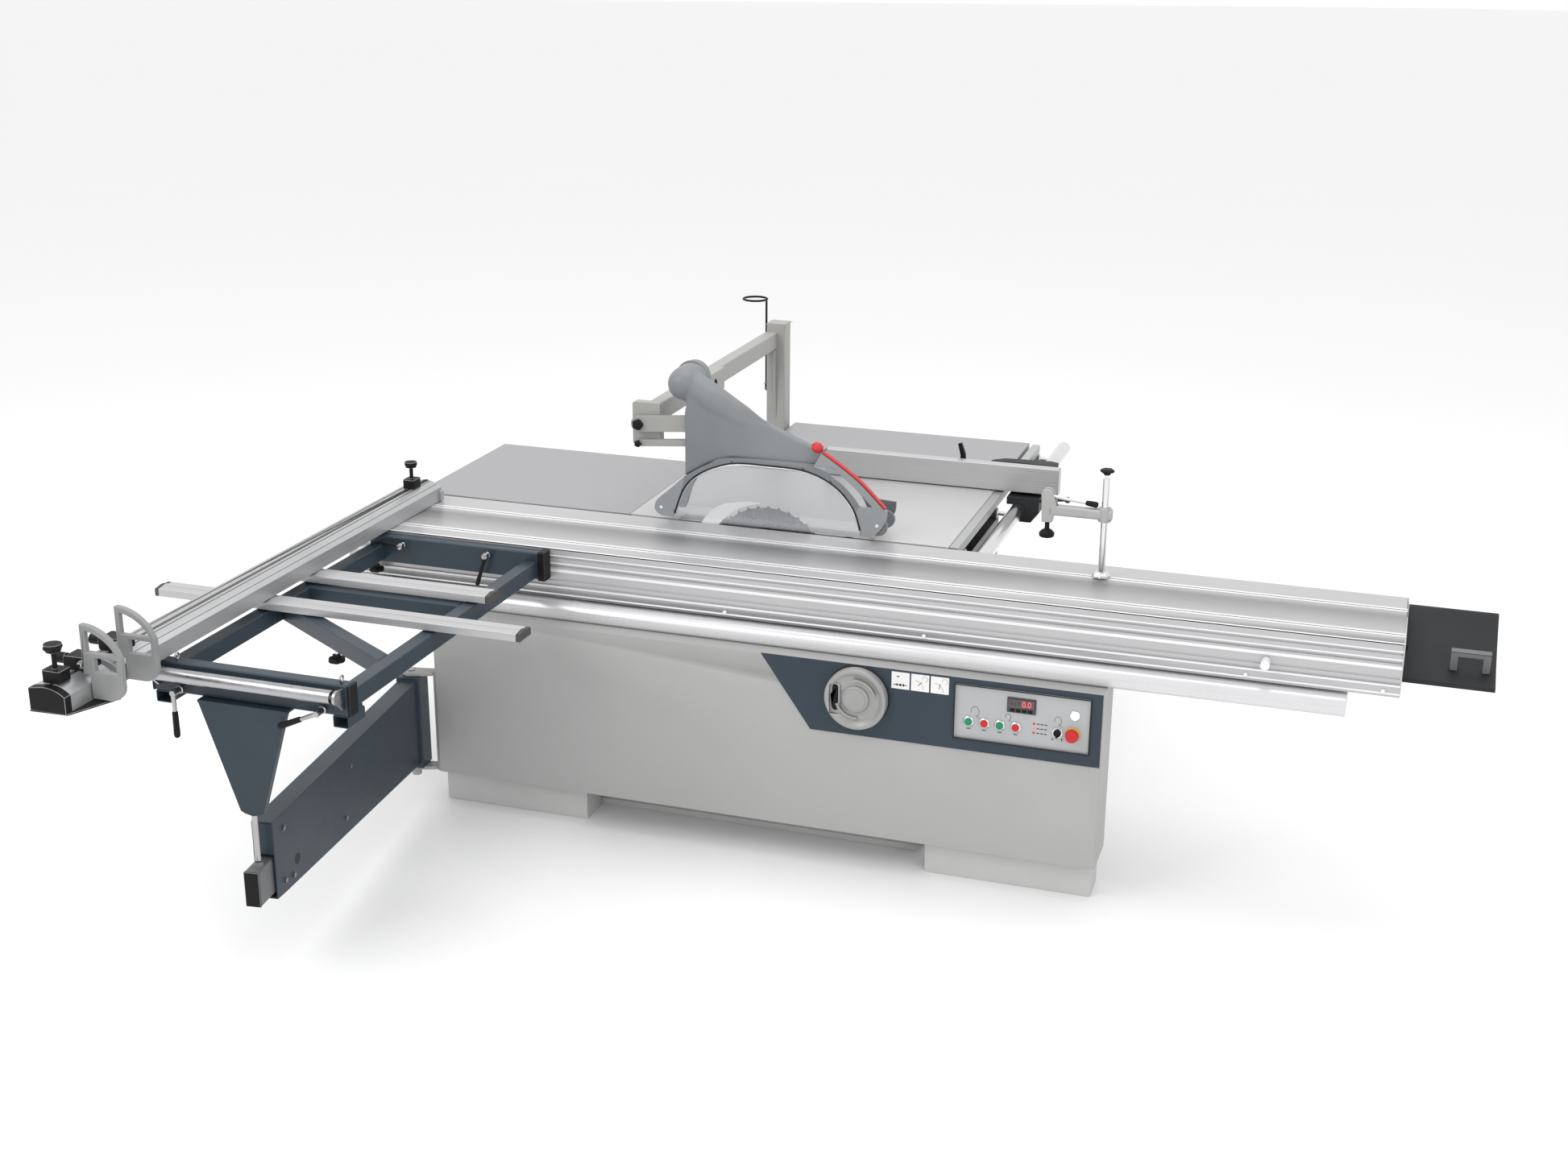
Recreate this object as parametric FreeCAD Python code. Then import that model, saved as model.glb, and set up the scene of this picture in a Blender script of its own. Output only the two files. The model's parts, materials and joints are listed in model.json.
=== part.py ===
import FreeCAD, Part
import math
import os

# Sliding-table panel saw, in millimetres.
# X runs along the sliding table, -X is the way the work is pushed.
# Y runs away from the operator's side; Y = 0 is the blade edge of the sliding table.
# Z = 0 is the floor and X = 0 the middle of the front cabinet.

# ---- driving dimensions -------------------------------------------------
TABLE_Z = 870.0            # working height
CARRIAGE_X = (-1375.0, 1825.0)
CARRIAGE_Y = (-397.0, 0.0)
CARRIAGE_Z = (716.0, TABLE_Z)
SLOT_Y = (-113.0, -324.0)  # T-slots in the sliding table
EDGE_THICK = 22.0          # thin blade-side wing of the sliding table
WING_Y = -172.0            # where the wing meets the box
BEAM_X = (-1300.0, 1688.0)
CABINET_X = (-1045.0, 1045.0)
CABINET_Y = (-491.0, -328.0)
CABINET_Z = (114.0, 655.0)
SHEET = 4.0                # cabinet sheet thickness
REAR_X = (-640.0, 500.0)
REAR_Y = (-324.0, 600.0)
REAR_Z = (20.0, 826.0)
PASSAGE_X = (-430.0, 220.0)  # way through both cabinets behind the beam
PASSAGE_Z = (180.0, 560.0)
DOOR_X = (-350.0, 250.0)
DOOR_Z = (180.0, 700.0)
DUCT = (380.0, 240.0)      # lower dust outlet, Y and Z of its axis
DUCT_R = 57.5
FASCIA_Z = (434.0, 655.0)
MAIN_X = (-585.5, 466.0)
OUTFEED_X = (-1348.0, -586.5)
TABLE_Y = (16.0, 664.0)
TABLE_THICK = 38.0
EXTENSION_X = (-450.0, 455.0)
EXTENSION_Y = (665.0, 1319.0)
INSERT_X = (-420.0, 230.0)
INSERT_Y = (16.0, 72.0)

BLADE_Y = 12.0             # saw plane, and the tilt axis at table height
BLADE_X = -115.0
BLADE_Z = 745.0
BLADE_R = 200.0
BLADE_T = 3.2
MOTOR_Z = 480.0
SCORE_X = 152.0
SCORE_R = 60.0
SCORE_Z = TABLE_Z + 2.0 - SCORE_R

FENCE_X = (-1325.0, -1225.0)
FENCE_Y = (-1760.0, -53.0)
FENCE_Z = (872.0, 936.0)
STOP_Y = (-1720.0, -1856.0)
RIP_Y = (665.0, 705.0)
RIP_X = (-130.0, 681.0)
RAIL_X = 555.0
RAIL_Z = 820.0
RAIL_R = 25.0
RAIL_Y = (40.0, 1470.0)

OUTRIGGER_X = (-1267.0, -700.0)
BEAM_IN_Y = (-440.0, -399.0)
CROSS_Y = (-1563.0, -1523.0)
TUBE_TOP = 839.0
TUBE_H = 50.0
TUBE_W = 45.0
ROLLER_Y = -1596.0
ROLLER_Z = 842.0
ROLLER_R = 18.0

HINGE = (-1125.0, -490.0)   # swing-arm hinge pin
ROD = (-992.0, -1575.0)     # support rod under the outrigger
ARM_Z = (205.0, 430.0)
ARM_W = 60.0
WHEEL = (331.0, 557.0)
WHEEL_R = 94.0
FRONT = CABINET_Y[0] - 3.0  # face of the slate front panel


# ---- helpers ------------------------------------------------------------
def box(x, y, z):
    return Part.makeBox(x[1] - x[0], y[1] - y[0], z[1] - z[0], FreeCAD.Vector(x[0], y[0], z[0]))


def rod(centre, axis, radius, length):
    """A cylinder that starts at centre and runs along +axis."""
    directions = {"x": (1, 0, 0), "y": (0, 1, 0), "z": (0, 0, 1)}
    return Part.makeCylinder(radius, length, FreeCAD.Vector(*centre), FreeCAD.Vector(*directions[axis]))


def ring(centre, axis, outer, inner, length):
    return rod(centre, axis, outer, length).cut(rod(centre, axis, inner, length))


def cone(centre, axis, low, high, length):
    directions = {"x": (1, 0, 0), "y": (0, 1, 0), "z": (0, 0, 1)}
    return Part.makeCone(low, high, length, FreeCAD.Vector(*centre), FreeCAD.Vector(*directions[axis]))


def place(plane, u, v, w):
    """A point from plane coordinates (u, v) and the depth w across the plane."""
    if plane == "xz":
        return FreeCAD.Vector(u, w, v)
    if plane == "yz":
        return FreeCAD.Vector(w, u, v)
    return FreeCAD.Vector(u, v, w)


def prism(plane, outline, low, high):
    """Extrude an outline; an entry of two points is an arc through the first to the second."""
    points = [p if isinstance(p[0], (int, float)) else p[1] for p in outline]
    edges = []
    for i, entry in enumerate(outline):
        start = place(plane, *points[i - 1], low)
        end = place(plane, *points[i], low)
        if isinstance(entry[0], (int, float)):
            edges.append(Part.LineSegment(start, end).toShape())
        else:
            middle = place(plane, *entry[0], low)
            edges.append(Part.Arc(start, middle, end).toShape())
    face = Part.Face(Part.Wire(Part.__sortEdges__(edges)))
    return face.extrude(place(plane, 0, 0, high - low))


def soften(shape, radius, axis):
    """Round the straight edges that run along one axis."""
    along = {"x": 0, "y": 1, "z": 2}[axis]
    edges = []
    for edge in shape.Edges:
        if len(edge.Vertexes) != 2:
            continue
        d = edge.Vertexes[1].Point.sub(edge.Vertexes[0].Point)
        if d.Length > 1e-6 and abs(abs(d[along]) / d.Length - 1) < 1e-6:
            edges.append(edge)
    return shape.makeFillet(radius, edges)


def hollow(x, y, z, wall, axis, radius=4.0):
    """A rectangular tube that is open along one axis."""
    outer = soften(box(x, y, z), radius, axis)
    spans = {"x": x, "y": y, "z": z}
    inner = {k: (s if k == axis else (s[0] + wall, s[1] - wall)) for k, s in spans.items()}
    return outer.cut(box(inner["x"], inner["y"], inner["z"]))


def group(shapes):
    return Part.makeCompound(shapes)


def turned(shape, centre, axis, degrees):
    result = shape.copy()
    result.rotate(FreeCAD.Vector(*centre), FreeCAD.Vector(*axis), degrees)
    return result


# ---- cabinet ------------------------------------------------------------
def framed_wall(x, y, z, hole_x, hole_z):
    """Four strips of sheet round a rectangular passage in an upright wall along X."""
    return [
        box((x[0], hole_x[0]), y, z),
        box((hole_x[1], x[1]), y, z),
        box(hole_x, y, (z[0], hole_z[0])),
        box(hole_x, y, (hole_z[1], z[1])),
    ]


def front_cabinet():
    """Sheet-metal walls, and the hinge pin with its lugs for the swing arm."""
    front, back = CABINET_Y
    sides_z = (CABINET_Z[0] + SHEET, CABINET_Z[1] - SHEET)
    face = box(CABINET_X, (front, front + SHEET), CABINET_Z)
    face = face.cut(box((618, 1011), (front - 1, front + SHEET + 1), (470, 637)))
    face = face.cut(rod((WHEEL[0], front, WHEEL[1]), "y", 13, SHEET))
    walls = [face]
    walls += framed_wall(CABINET_X, (back - SHEET, back), sides_z, PASSAGE_X, PASSAGE_Z)
    depth = (front + SHEET, back - SHEET)
    for x in ((CABINET_X[0], CABINET_X[0] + SHEET), (CABINET_X[1] - SHEET, CABINET_X[1])):
        walls.append(box(x, depth, sides_z))
    walls.append(box(CABINET_X, (front + SHEET, back), (CABINET_Z[0], sides_z[0])))
    walls.append(box(CABINET_X, (front + SHEET, back), (sides_z[1], CABINET_Z[1])))
    lugs = []
    for z, thick in ((437, 11), (118, 11)):
        plate = prism("xy", [
            (CABINET_X[0] - 8, -450), (CABINET_X[0] - 8, CABINET_Y[0]), (HINGE[0] + 4, HINGE[1] - 27),
            ((HINGE[0] - 27, HINGE[1]), (HINGE[0] + 4, HINGE[1] + 27)),
        ], z, z + thick)
        lugs.append(plate.cut(rod((HINGE[0], HINGE[1], z), "z", 10.05, thick)))
    foot = box((CABINET_X[0] - 8, CABINET_X[0]), (CABINET_Y[0] + 5, -446), (114, 452))
    pin = rod((HINGE[0], HINGE[1], 92), "z", 10, 360)
    collar = ring((HINGE[0], HINGE[1], 94), "z", 15, 10, 22)
    return group(walls + [pin, collar, foot] + lugs)


def rear_cabinet():
    """Sheet-metal housing of the saw unit, open at the top under the tables."""
    front, back = REAR_Y
    low = REAR_Z[0] + SHEET
    walls = [box(REAR_X, REAR_Y, (REAR_Z[0], low))]
    walls += framed_wall(REAR_X, (front, front + SHEET), (low, 650), PASSAGE_X, PASSAGE_Z)
    walls += framed_wall(REAR_X, (back - SHEET, back), (low, REAR_Z[1]), DOOR_X, DOOR_Z)
    duct_y = (DUCT[0] - 62, DUCT[0] + 62)
    duct_z = (DUCT[1] - 62, DUCT[1] + 62)
    for x, has_duct in ((REAR_X[0], False), (REAR_X[1] - SHEET, True)):
        sheet = (x, x + SHEET)
        walls.append(box(sheet, (front + SHEET, -150), (low, 650)))
        walls.append(box(sheet, (-150, 8), (low, 780)))
        if has_duct:
            walls.append(box(sheet, (8, duct_y[0]), (low, 800)))
            walls.append(box(sheet, (duct_y[1], back - SHEET), (low, 800)))
            walls.append(box(sheet, duct_y, (low, duct_z[0])))
            walls.append(box(sheet, duct_y, (duct_z[1], 800)))
        else:
            walls.append(box(sheet, (8, back - SHEET), (low, REAR_Z[1])))
    return group(walls + rear_door() + dust_outlet(duct_y, duct_z))


def dust_outlet(y, z):
    """Lower extraction pipe with its square flange in the cabinet's right wall."""
    x = REAR_X[1] - SHEET
    bore = DUCT_R - 3.5
    flange = box((x, x + SHEET), y, z).cut(rod((x, *DUCT), "x", bore, SHEET))
    pipe = ring((x + SHEET, *DUCT), "x", DUCT_R, bore, 76)
    return [flange, pipe]


def rear_door():
    """Screwed-on service cover with louvres and a turn knob."""
    x = (DOOR_X[0] + 1, DOOR_X[1] - 1)
    panel = box(x, (REAR_Y[1] - SHEET, REAR_Y[1] + 6), (DOOR_Z[0] + 1, DOOR_Z[1] - 1))
    panel = soften(panel, 3, "y")
    for row in range(7):
        z = 560 + 16 * row
        panel = panel.cut(box((-120, 20), (REAR_Y[1] - 6, REAR_Y[1] + 8), (z, z + 6)))
    knob = rod((215, REAR_Y[1] + 6, 440), "y", 16, 18)
    return [panel, knob]


def plinths():
    made = []
    for x in ((-1045, -559), (532, 1030)):
        middle = (x[0] + x[1]) / 2
        block = soften(box(x, (-441, -329), (0, CABINET_Z[0])), 4, "z")
        block = block.cut(box((x[0] + 6, x[1] - 6), (-435, -335), (8, CABINET_Z[0] - 6)))
        for y in (-415, -355):
            block = block.cut(rod((middle, y, 0), "z", 8, 8))
        made.append(block)
    rear = box((REAR_X[0] + 20, REAR_X[1] - 20), (REAR_Y[0] + 4, REAR_Y[1] - 20), (0, REAR_Z[0]))
    rear = rear.cut(box((REAR_X[0] + 60, REAR_X[1] - 60), (REAR_Y[0] + 44, REAR_Y[1] - 60), (5, 30)))
    return group(made + [rear])


def front_fascia():
    back = CABINET_Y[0]
    panel = prism("xz", [
        (33, FASCIA_Z[1]), (188, FASCIA_Z[0]), (CABINET_X[1] - 3, FASCIA_Z[0]), (CABINET_X[1] - 3, FASCIA_Z[1]),
    ], FRONT, back)
    panel = panel.cut(rod((WHEEL[0], FRONT - 1, WHEEL[1]), "y", WHEEL_R + 1, 5))
    panel = panel.cut(box((618, 1011), (FRONT - 1, back + 1), (470, 637)))
    plates = [
        box((431 + 58 * i, 486 + 58 * i), (FRONT - 1, FRONT), (597, 650)) for i in range(3)
    ]
    return group([panel] + plates)


def control_plate():
    """The pocketed operating plate with its lamp, display and button collars."""
    face = CABINET_Y[0] + SHEET
    plate = box((619, 1010), (face - 3, face), (471, 636))
    holes = [(661, 11.4), (707, 11.4), (752, 11.4), (798, 11.4), (918, 8.2), (961, 8.2)]
    for x, radius in holes:
        plate = plate.cut(rod((x, face - 4, 524), "y", radius, 5))
    parts = [plate]
    for x in (661, 707, 752, 798):
        parts.append(ring((x, face - 8, 524), "y", 15, 11.4, 5))
    parts.append(ring((918, face - 6, 524), "y", 14, 8.2, 3))
    parts.append(ring((961, face - 8, 524), "y", 19, 8.2, 5))
    parts.append(soften(box((775, 850), (face - 8, face - 3), (573, 611)), 3, "y"))
    parts.append(cone((965, face - 12, 582), "y", 9, 12, 9))
    for z in (514, 528, 542):
        parts.append(rod((850, face - 5, z), "y", 3, 2))
    return group(parts)


# ---- tables -------------------------------------------------------------
def cast_plate(x, y, pockets):
    top = box(x, y, (TABLE_Z - TABLE_THICK, TABLE_Z))
    rib = 14.0
    nx, ny = pockets
    step_x = (x[1] - x[0] - rib) / nx
    step_y = (y[1] - y[0] - rib) / ny
    for i in range(nx):
        for j in range(ny):
            low_x = x[0] + rib + i * step_x
            low_y = y[0] + rib + j * step_y
            cell = box(
                (low_x, low_x + step_x - rib),
                (low_y, low_y + step_y - rib),
                (TABLE_Z - TABLE_THICK - 1, TABLE_Z - 12),
            )
            top = top.cut(cell)
    return top


def main_table():
    plate = cast_plate(MAIN_X, (INSERT_Y[1] + 18, TABLE_Y[1]), (4, 3))
    nose = box(MAIN_X, (TABLE_Y[0], INSERT_Y[1] + 18), (TABLE_Z - TABLE_THICK, TABLE_Z))
    nose = nose.cut(box(INSERT_X, (INSERT_Y[0] - 1, INSERT_Y[1]), (TABLE_Z - 8, TABLE_Z + 1)))
    nose = nose.cut(box((INSERT_X[0] + 20, INSERT_X[1] - 20), (INSERT_Y[0] - 1, INSERT_Y[1] - 12), (800, 900)))
    insert = box(
        (INSERT_X[0] + 0.5, INSERT_X[1] - 0.5), (INSERT_Y[0], INSERT_Y[1] - 0.5), (TABLE_Z - 8, TABLE_Z)
    )
    for x in (INSERT_X[0] + 12, INSERT_X[1] - 12):
        insert = insert.cut(cone((x, 44, TABLE_Z - 3), "z", 2.5, 6, 3.01))
    strip = box((MAIN_X[1], MAIN_X[1] + 28), (30, EXTENSION_Y[1]), (TABLE_Z - 34, TABLE_Z - 4))
    return group([plate.fuse(nose), insert, strip])


def outfeed_table():
    plate = cast_plate(OUTFEED_X, TABLE_Y, (3, 3))
    leg = hollow((-1230, -1180), (560, 610), (0, TABLE_Z - TABLE_THICK), 4, "z")
    return group([plate, leg])


def extension_table():
    return cast_plate(EXTENSION_X, EXTENSION_Y, (3, 2))


def rip_rail():
    bar = rod((RAIL_X, RAIL_Y[0], RAIL_Z), "y", RAIL_R, RAIL_Y[1] - RAIL_Y[0])
    bolts = []
    reach = RAIL_X - RAIL_R - MAIN_X[1] - 28
    for y in (110, 575, 1000, 1290):
        start = (MAIN_X[1] + 28, y, RAIL_Z + 24)
        stud = rod((MAIN_X[1] + 28, y, RAIL_Z), "x", 7, reach + 8)
        collar = rod((MAIN_X[1] + 28, y, RAIL_Z), "x", 11, 9)
        tab = box((start[0], start[0] + 6), (y - 12, y + 12), (RAIL_Z - 14, TABLE_Z - 34))
        bolts.append(stud.fuse(collar).fuse(tab).cut(bar))
    hanger = [box((MAIN_X[1] + 4, MAIN_X[1] + 28), (y - 12, y + 12), (RAIL_Z - 14, TABLE_Z - 34))
              for y in (110, 575, 1000, 1290)]
    return group([bar] + [b.fuse(h) for b, h in zip(bolts, hanger)])


# ---- sliding table ------------------------------------------------------
def sliding_beam():
    outline = [
        (-396, 708), ((-428, 702), (-440, 682)), (-440, 667), ((-436, 658), (-428, 655)),
        (-242, 655), (-242, 700), (-262, 700), (-262, 690), (-372, 690), (-372, 708),
    ]
    body = prism("yz", outline, BEAM_X[0], BEAM_X[1])
    body = body.cut(box((BEAM_X[0] - 1, BEAM_X[1] + 1), (-425, -380), (664, 684)))
    body = body.cut(box((BEAM_X[0] - 1, BEAM_X[1] + 1), (-362, -254), (662, 682)))
    return body


def roller_cage():
    x = (-640, 1060)
    strips = box(x, (-360, -356), (695, 709)).fuse(box(x, (-278, -274), (695, 709)))
    rungs = []
    for i in range(9):
        rungs.append(rod((x[0] + 50 + 200 * i, -357, 703), "y", 12.4, 80))
    cage = strips
    for rung in rungs:
        cage = cage.fuse(rung)
    return cage


def carriage_table():
    """Extruded sliding table: a box on the beam and a thin wing towards the blade, with end caps."""
    low, high = CARRIAGE_X[0] + 5, CARRIAGE_X[1] - 5
    under = TABLE_Z - EDGE_THICK
    box_outline = [(-397, TABLE_Z), (-397, 716), (WING_Y, 716), (WING_Y, TABLE_Z)]
    wing_outline = [(WING_Y, TABLE_Z), (WING_Y, under), (-17, under), (0, TABLE_Z - 5), (0, TABLE_Z)]
    body = prism("yz", box_outline, low, high)
    wing = prism("yz", wing_outline, low, high)
    span = (low - 1, high + 1)
    for y in ((-388, -292), (-282, WING_Y - 9)):
        body = body.cut(box(span, y, (724, TABLE_Z - 24)))
    for y in SLOT_Y:
        mouth = box(span, (y - 5, y + 5), (TABLE_Z - 7, TABLE_Z + 1))
        channel = box(span, (y - 10, y + 10), (TABLE_Z - 15, TABLE_Z - 7))
        body = body.cut(mouth).cut(channel)
        wing = wing.cut(mouth).cut(channel)
    for z, depth in ((838, 4), (812, 5), (768, 3), (752, 4)):
        body = body.cut(box(span, (-398, -397 + depth), (z, z + 6)))
    body = body.cut(rod((1466, -398, 778), "y", 5.06, 12))
    caps = []
    for a, b in ((CARRIAGE_X[0], low), (high, CARRIAGE_X[1])):
        caps += [prism("yz", box_outline, a, b), prism("yz", wing_outline, a, b)]
    screws = [rod((x, -403, 732), "y", 6, 6) for x in (-112, 500, 1414, 1779)]
    return group([body, wing] + caps + screws)


def end_plate():
    """Curved push plate with its handle at the operator's end of the sliding table."""
    x = (CARRIAGE_X[1], CARRIAGE_X[1] + 243)
    upper = [(-30, 858), (-30, 862), (-46, 862), ((-172, 795), (-316, 745)), (-320, 733), (-316, 733),
             (-311, 741), ((-170, 790), (-46, 858))]
    sheet = prism("yz", upper, x[0] + 1, x[1])
    bracket = box((x[0], x[0] + 8), (-200, -170), (752, 800)).cut(sheet)
    grip = Part.makeCompound([])
    legs = []
    for px in (x[0] + 120, x[0] + 205):
        legs.append(prism("yz", [(-262, 762), (-242, 769), (-250, 812), (-268, 806)], px, px + 22))
    grip = prism("yz", [(-268, 806), (-250, 812), (-254, 826), (-272, 820)], x[0] + 120, x[0] + 227)
    handle = grip
    for leg in legs:
        handle = handle.fuse(leg)
    return group([sheet, bracket, handle.cut(sheet)])


def lock_pin():
    return rod((1466, -440, 778), "y", 13, 42).fuse(rod((1466, -398.5, 778), "y", 5, 10))


# ---- outrigger ----------------------------------------------------------
def outrigger_beam():
    inner = hollow((OUTRIGGER_X[0], OUTRIGGER_X[1]), BEAM_IN_Y, (780, 864), 4, "x", 5)
    cap = soften(box((OUTRIGGER_X[1], OUTRIGGER_X[1] + 22), (-444, -399), (776, 868)), 5, "x")
    end = box((OUTRIGGER_X[0] - 5, OUTRIGGER_X[0]), BEAM_IN_Y, (780, 864))
    return group([inner, cap, end])


def outrigger_tubes():
    z = (TUBE_TOP - TUBE_H, TUBE_TOP)
    right = (OUTRIGGER_X[1] - TUBE_W, OUTRIGGER_X[1])
    left = (OUTRIGGER_X[0], OUTRIGGER_X[0] + TUBE_W)
    parts = [hollow(side, (CROSS_Y[1], BEAM_IN_Y[0]), z, 3, "y") for side in (left, right)]
    parts.append(hollow((left[1], right[0]), (-879, -834), z, 3, "x"))
    cross = hollow((OUTRIGGER_X[0], OUTRIGGER_X[1]), CROSS_Y, (778, 862), 4, "x", 5)
    parts.append(cross)
    parts.append(box((OUTRIGGER_X[1], OUTRIGGER_X[1] + 8), (CROSS_Y[0], CROSS_Y[1]), (778, 862)))
    parts.append(box((OUTRIGGER_X[0] - 8, OUTRIGGER_X[0]), (CROSS_Y[0], CROSS_Y[1]), (778, 862)))
    for side in (left, right):
        parts.append(hollow(side, (-1562, -1480), (745, 778), 3, "y"))
        parts.append(box(side, (-1517, -1490), (778, TUBE_TOP - TUBE_H)))
    start, end = (left[1], -1000), (right[0], -1300)
    length = math.hypot(end[0] - start[0], end[1] - start[1])
    angle = math.degrees(math.atan2(end[1] - start[1], end[0] - start[0]))
    brace = box((start[0] - 60, start[0] + length + 60), (start[1] - 20, start[1] + 20), z)
    brace = turned(brace, (start[0], start[1], 0), (0, 0, 1), angle)
    brace = brace.common(box((left[1], right[0]), (-1520, -880), z))
    parts.append(brace)
    return group(parts)


def support_plate():
    """V-shaped hanger with the rod that stands on the telescopic arm."""
    plate = prism("xz", [
        (-1128, 777), (ROD[0] - 34, 478), ((ROD[0], 468), (ROD[0] + 34, 478)), (-866, 777),
    ], CROSS_Y[0] - 22, CROSS_Y[0] - 2)
    shelf = box((-1128, -866), (CROSS_Y[0] - 22, CROSS_Y[1]), (770, 777.5))
    stem = rod((ROD[0], ROD[1], 334.5), "z", 8, 140)
    return group([plate.fuse(shelf), stem.cut(plate)])


def support_bars():
    """Two grooved aluminium rests across the outrigger, with star knobs below."""
    bars = []
    for x, y in (((-1330, -660), -815), ((-1590, -445), -1062)):
        bar = soften(box(x, (y - 35, y + 35), (TABLE_Z - 27, TABLE_Z)), 4, "x")
        bar = bar.cut(box((x[0] - 1, x[1] + 1), (y - 8, y + 8), (TABLE_Z - 6, TABLE_Z + 1)))
        for side in (OUTRIGGER_X[0], OUTRIGGER_X[1] - TUBE_W):
            bar = bar.fuse(box((side + 6, side + TUBE_W - 6), (y - 25, y + 25), (TUBE_TOP, TABLE_Z - 27)))
        bars.append(bar)
    for x, y in ((-1244, -815), (-975, -1155)):
        stem = rod((x, y, 760), "z", 5, TUBE_TOP - TUBE_H - 760)
        knob = cone((x, y, 740), "z", 24, 18, 24)
        bars.append(stem.fuse(knob))
    return group(bars)


def outrigger_roller():
    x = (-1236, -722)
    barrel = rod((x[0], ROLLER_Y, ROLLER_Z), "x", ROLLER_R, x[1] - x[0])
    barrel = barrel.cut(rod((x[0] - 1, ROLLER_Y, ROLLER_Z), "x", 6.05, x[1] - x[0] + 2))
    return barrel


def roller_bracket():
    """Roller axle with its two end plates, bolted to the outer cross tube."""
    axle = rod((-1252, ROLLER_Y, ROLLER_Z), "x", 6, 546)
    plates = []
    for x in ((-1252, -1244), (-714, -706)):
        plate = prism("yz", [
            (CROSS_Y[0] - 0.5, 800), (CROSS_Y[0] - 0.5, 856), (-1585, 858), ((-1614, 842), (-1596, 822)), (-1575, 800),
        ], x[0], x[1])
        plates.append(plate)
    body = axle
    for plate in plates:
        body = body.fuse(plate)
    for x in (-1206, -724):
        stud = rod((x, -1543, 862), "z", 4, 4)
        eye = Part.makeTorus(8, 2.6, FreeCAD.Vector(x, -1543, 873), FreeCAD.Vector(1, 0, 0))
        body = group([body, stud.fuse(eye)])
    return body


def ratchet_lever(x, angle, length):
    pivot = (x, BEAM_IN_Y[0], 846)
    hub = rod((x, BEAM_IN_Y[0] - 32, 846), "y", 8.5, 31.5)
    arm = cone((x, BEAM_IN_Y[0] - 28, 846), "z", 8, 6, length)
    return turned(hub.fuse(arm), pivot, (0, 1, 0), angle)


def frame_lever(x, angle):
    """Long clamping lever on the front of the outer cross tube."""
    pivot = (x, -1563, 792)
    hub = rod((x, -1604, 792), "y", 10, 40.5)
    stem = cone((x, -1598, 792), "z", 6, 5, 52)
    grip = cone((x, -1598, 842), "z", 7, 9, 76)
    return turned(hub.fuse(stem).fuse(grip), pivot, (0, 1, 0), angle)


# ---- crosscut fence -----------------------------------------------------
def fence_outline(grow=0.0):
    x0, x1 = FENCE_X[0] - grow, FENCE_X[1] + grow
    return [
        (x0, FENCE_Z[0]), (x1, FENCE_Z[0]), (x1, 916), ((x1 - 26, 931), (x1 - 62, FENCE_Z[1])), (x0, 930),
    ]


def tongue(y, half):
    """Slot nut that holds a fitting in the fence's top groove."""
    return box((-1283, -1273), (y - half, y + half), (924, 937))


def stop_carrier(y):
    """Sliding block with the cross pin and clamping knob of a flip stop."""
    block = soften(box((-1312, -1240), (y + 9, y + 60), (936.5, 972)), 8, "y")
    pin = rod((-1250, y - 9, 960), "y", 4, 30)
    knob = rod((-1320, y + 34, 955), "x", 5, 12).fuse(rod((-1350, y + 34, 955), "x", 14, 30))
    return block.fuse(pin).fuse(knob).fuse(tongue(y + 34, 22))


def crosscut_fence():
    body = prism("xz", fence_outline(), FENCE_Y[0], FENCE_Y[1] - 3)
    span = (FENCE_Y[0] - 1, FENCE_Y[1])
    body = body.cut(box((-1317, -1233), span, (877.5, 910.5)))
    body = body.cut(box((-1284, -1272), span, (922, 940)))
    cap = prism("xz", fence_outline(), FENCE_Y[1] - 3, FENCE_Y[1])
    stop = box((FENCE_X[1], FENCE_X[1] + 8), (-72, FENCE_Y[1]), (874, 906))
    clamp = box((-1298, -1258), (-175, -125), (936.5, 966))
    clamp = soften(clamp, 6, "z").fuse(tongue(-150, 20))
    clamp = clamp.fuse(rod((-1278, -150, 966), "z", 6, 40)).fuse(cone((-1278, -150, 1004), "z", 17, 20, 18))
    pivot = rod((-1275, -100, 870.5), "z", 14, 2)
    return group([body.fuse(pivot), cap, stop, clamp, stop_carrier(STOP_Y[0])])


def fence_extension():
    inner = box((-1316.5, -1233.5), (-1940, -1150), (878, 910))
    inner = inner.cut(box((-1310, -1240), (-1941, -1149), (883, 905)))
    head = prism("xz", fence_outline(), -1940, FENCE_Y[0] - 20)
    head = head.cut(box((-1318, -1232), (-1932, FENCE_Y[0]), (876, 912)))
    cap = prism("xz", fence_outline(1.0), -1964, -1940)
    head = head.cut(box((-1284, -1272), (-1940, FENCE_Y[0]), (922, 940)))
    wedge = prism("xy", [(-1329, -1963), (-1224, -1958), (-1168, -1828), (-1300, -1828)], 867.5, 872)
    clamp = soften(box((-1305, -1253), (-1938, -1893), (936.5, 968)), 7, "z").fuse(tongue(-1916, 18))
    clamp = clamp.fuse(rod((-1280, -1916, 968), "z", 6, 44)).fuse(cone((-1280, -1916, 1012), "z", 18, 22, 20))
    return group([inner.fuse(head.cut(inner)), cap, wedge, clamp, stop_carrier(STOP_Y[1])])


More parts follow.
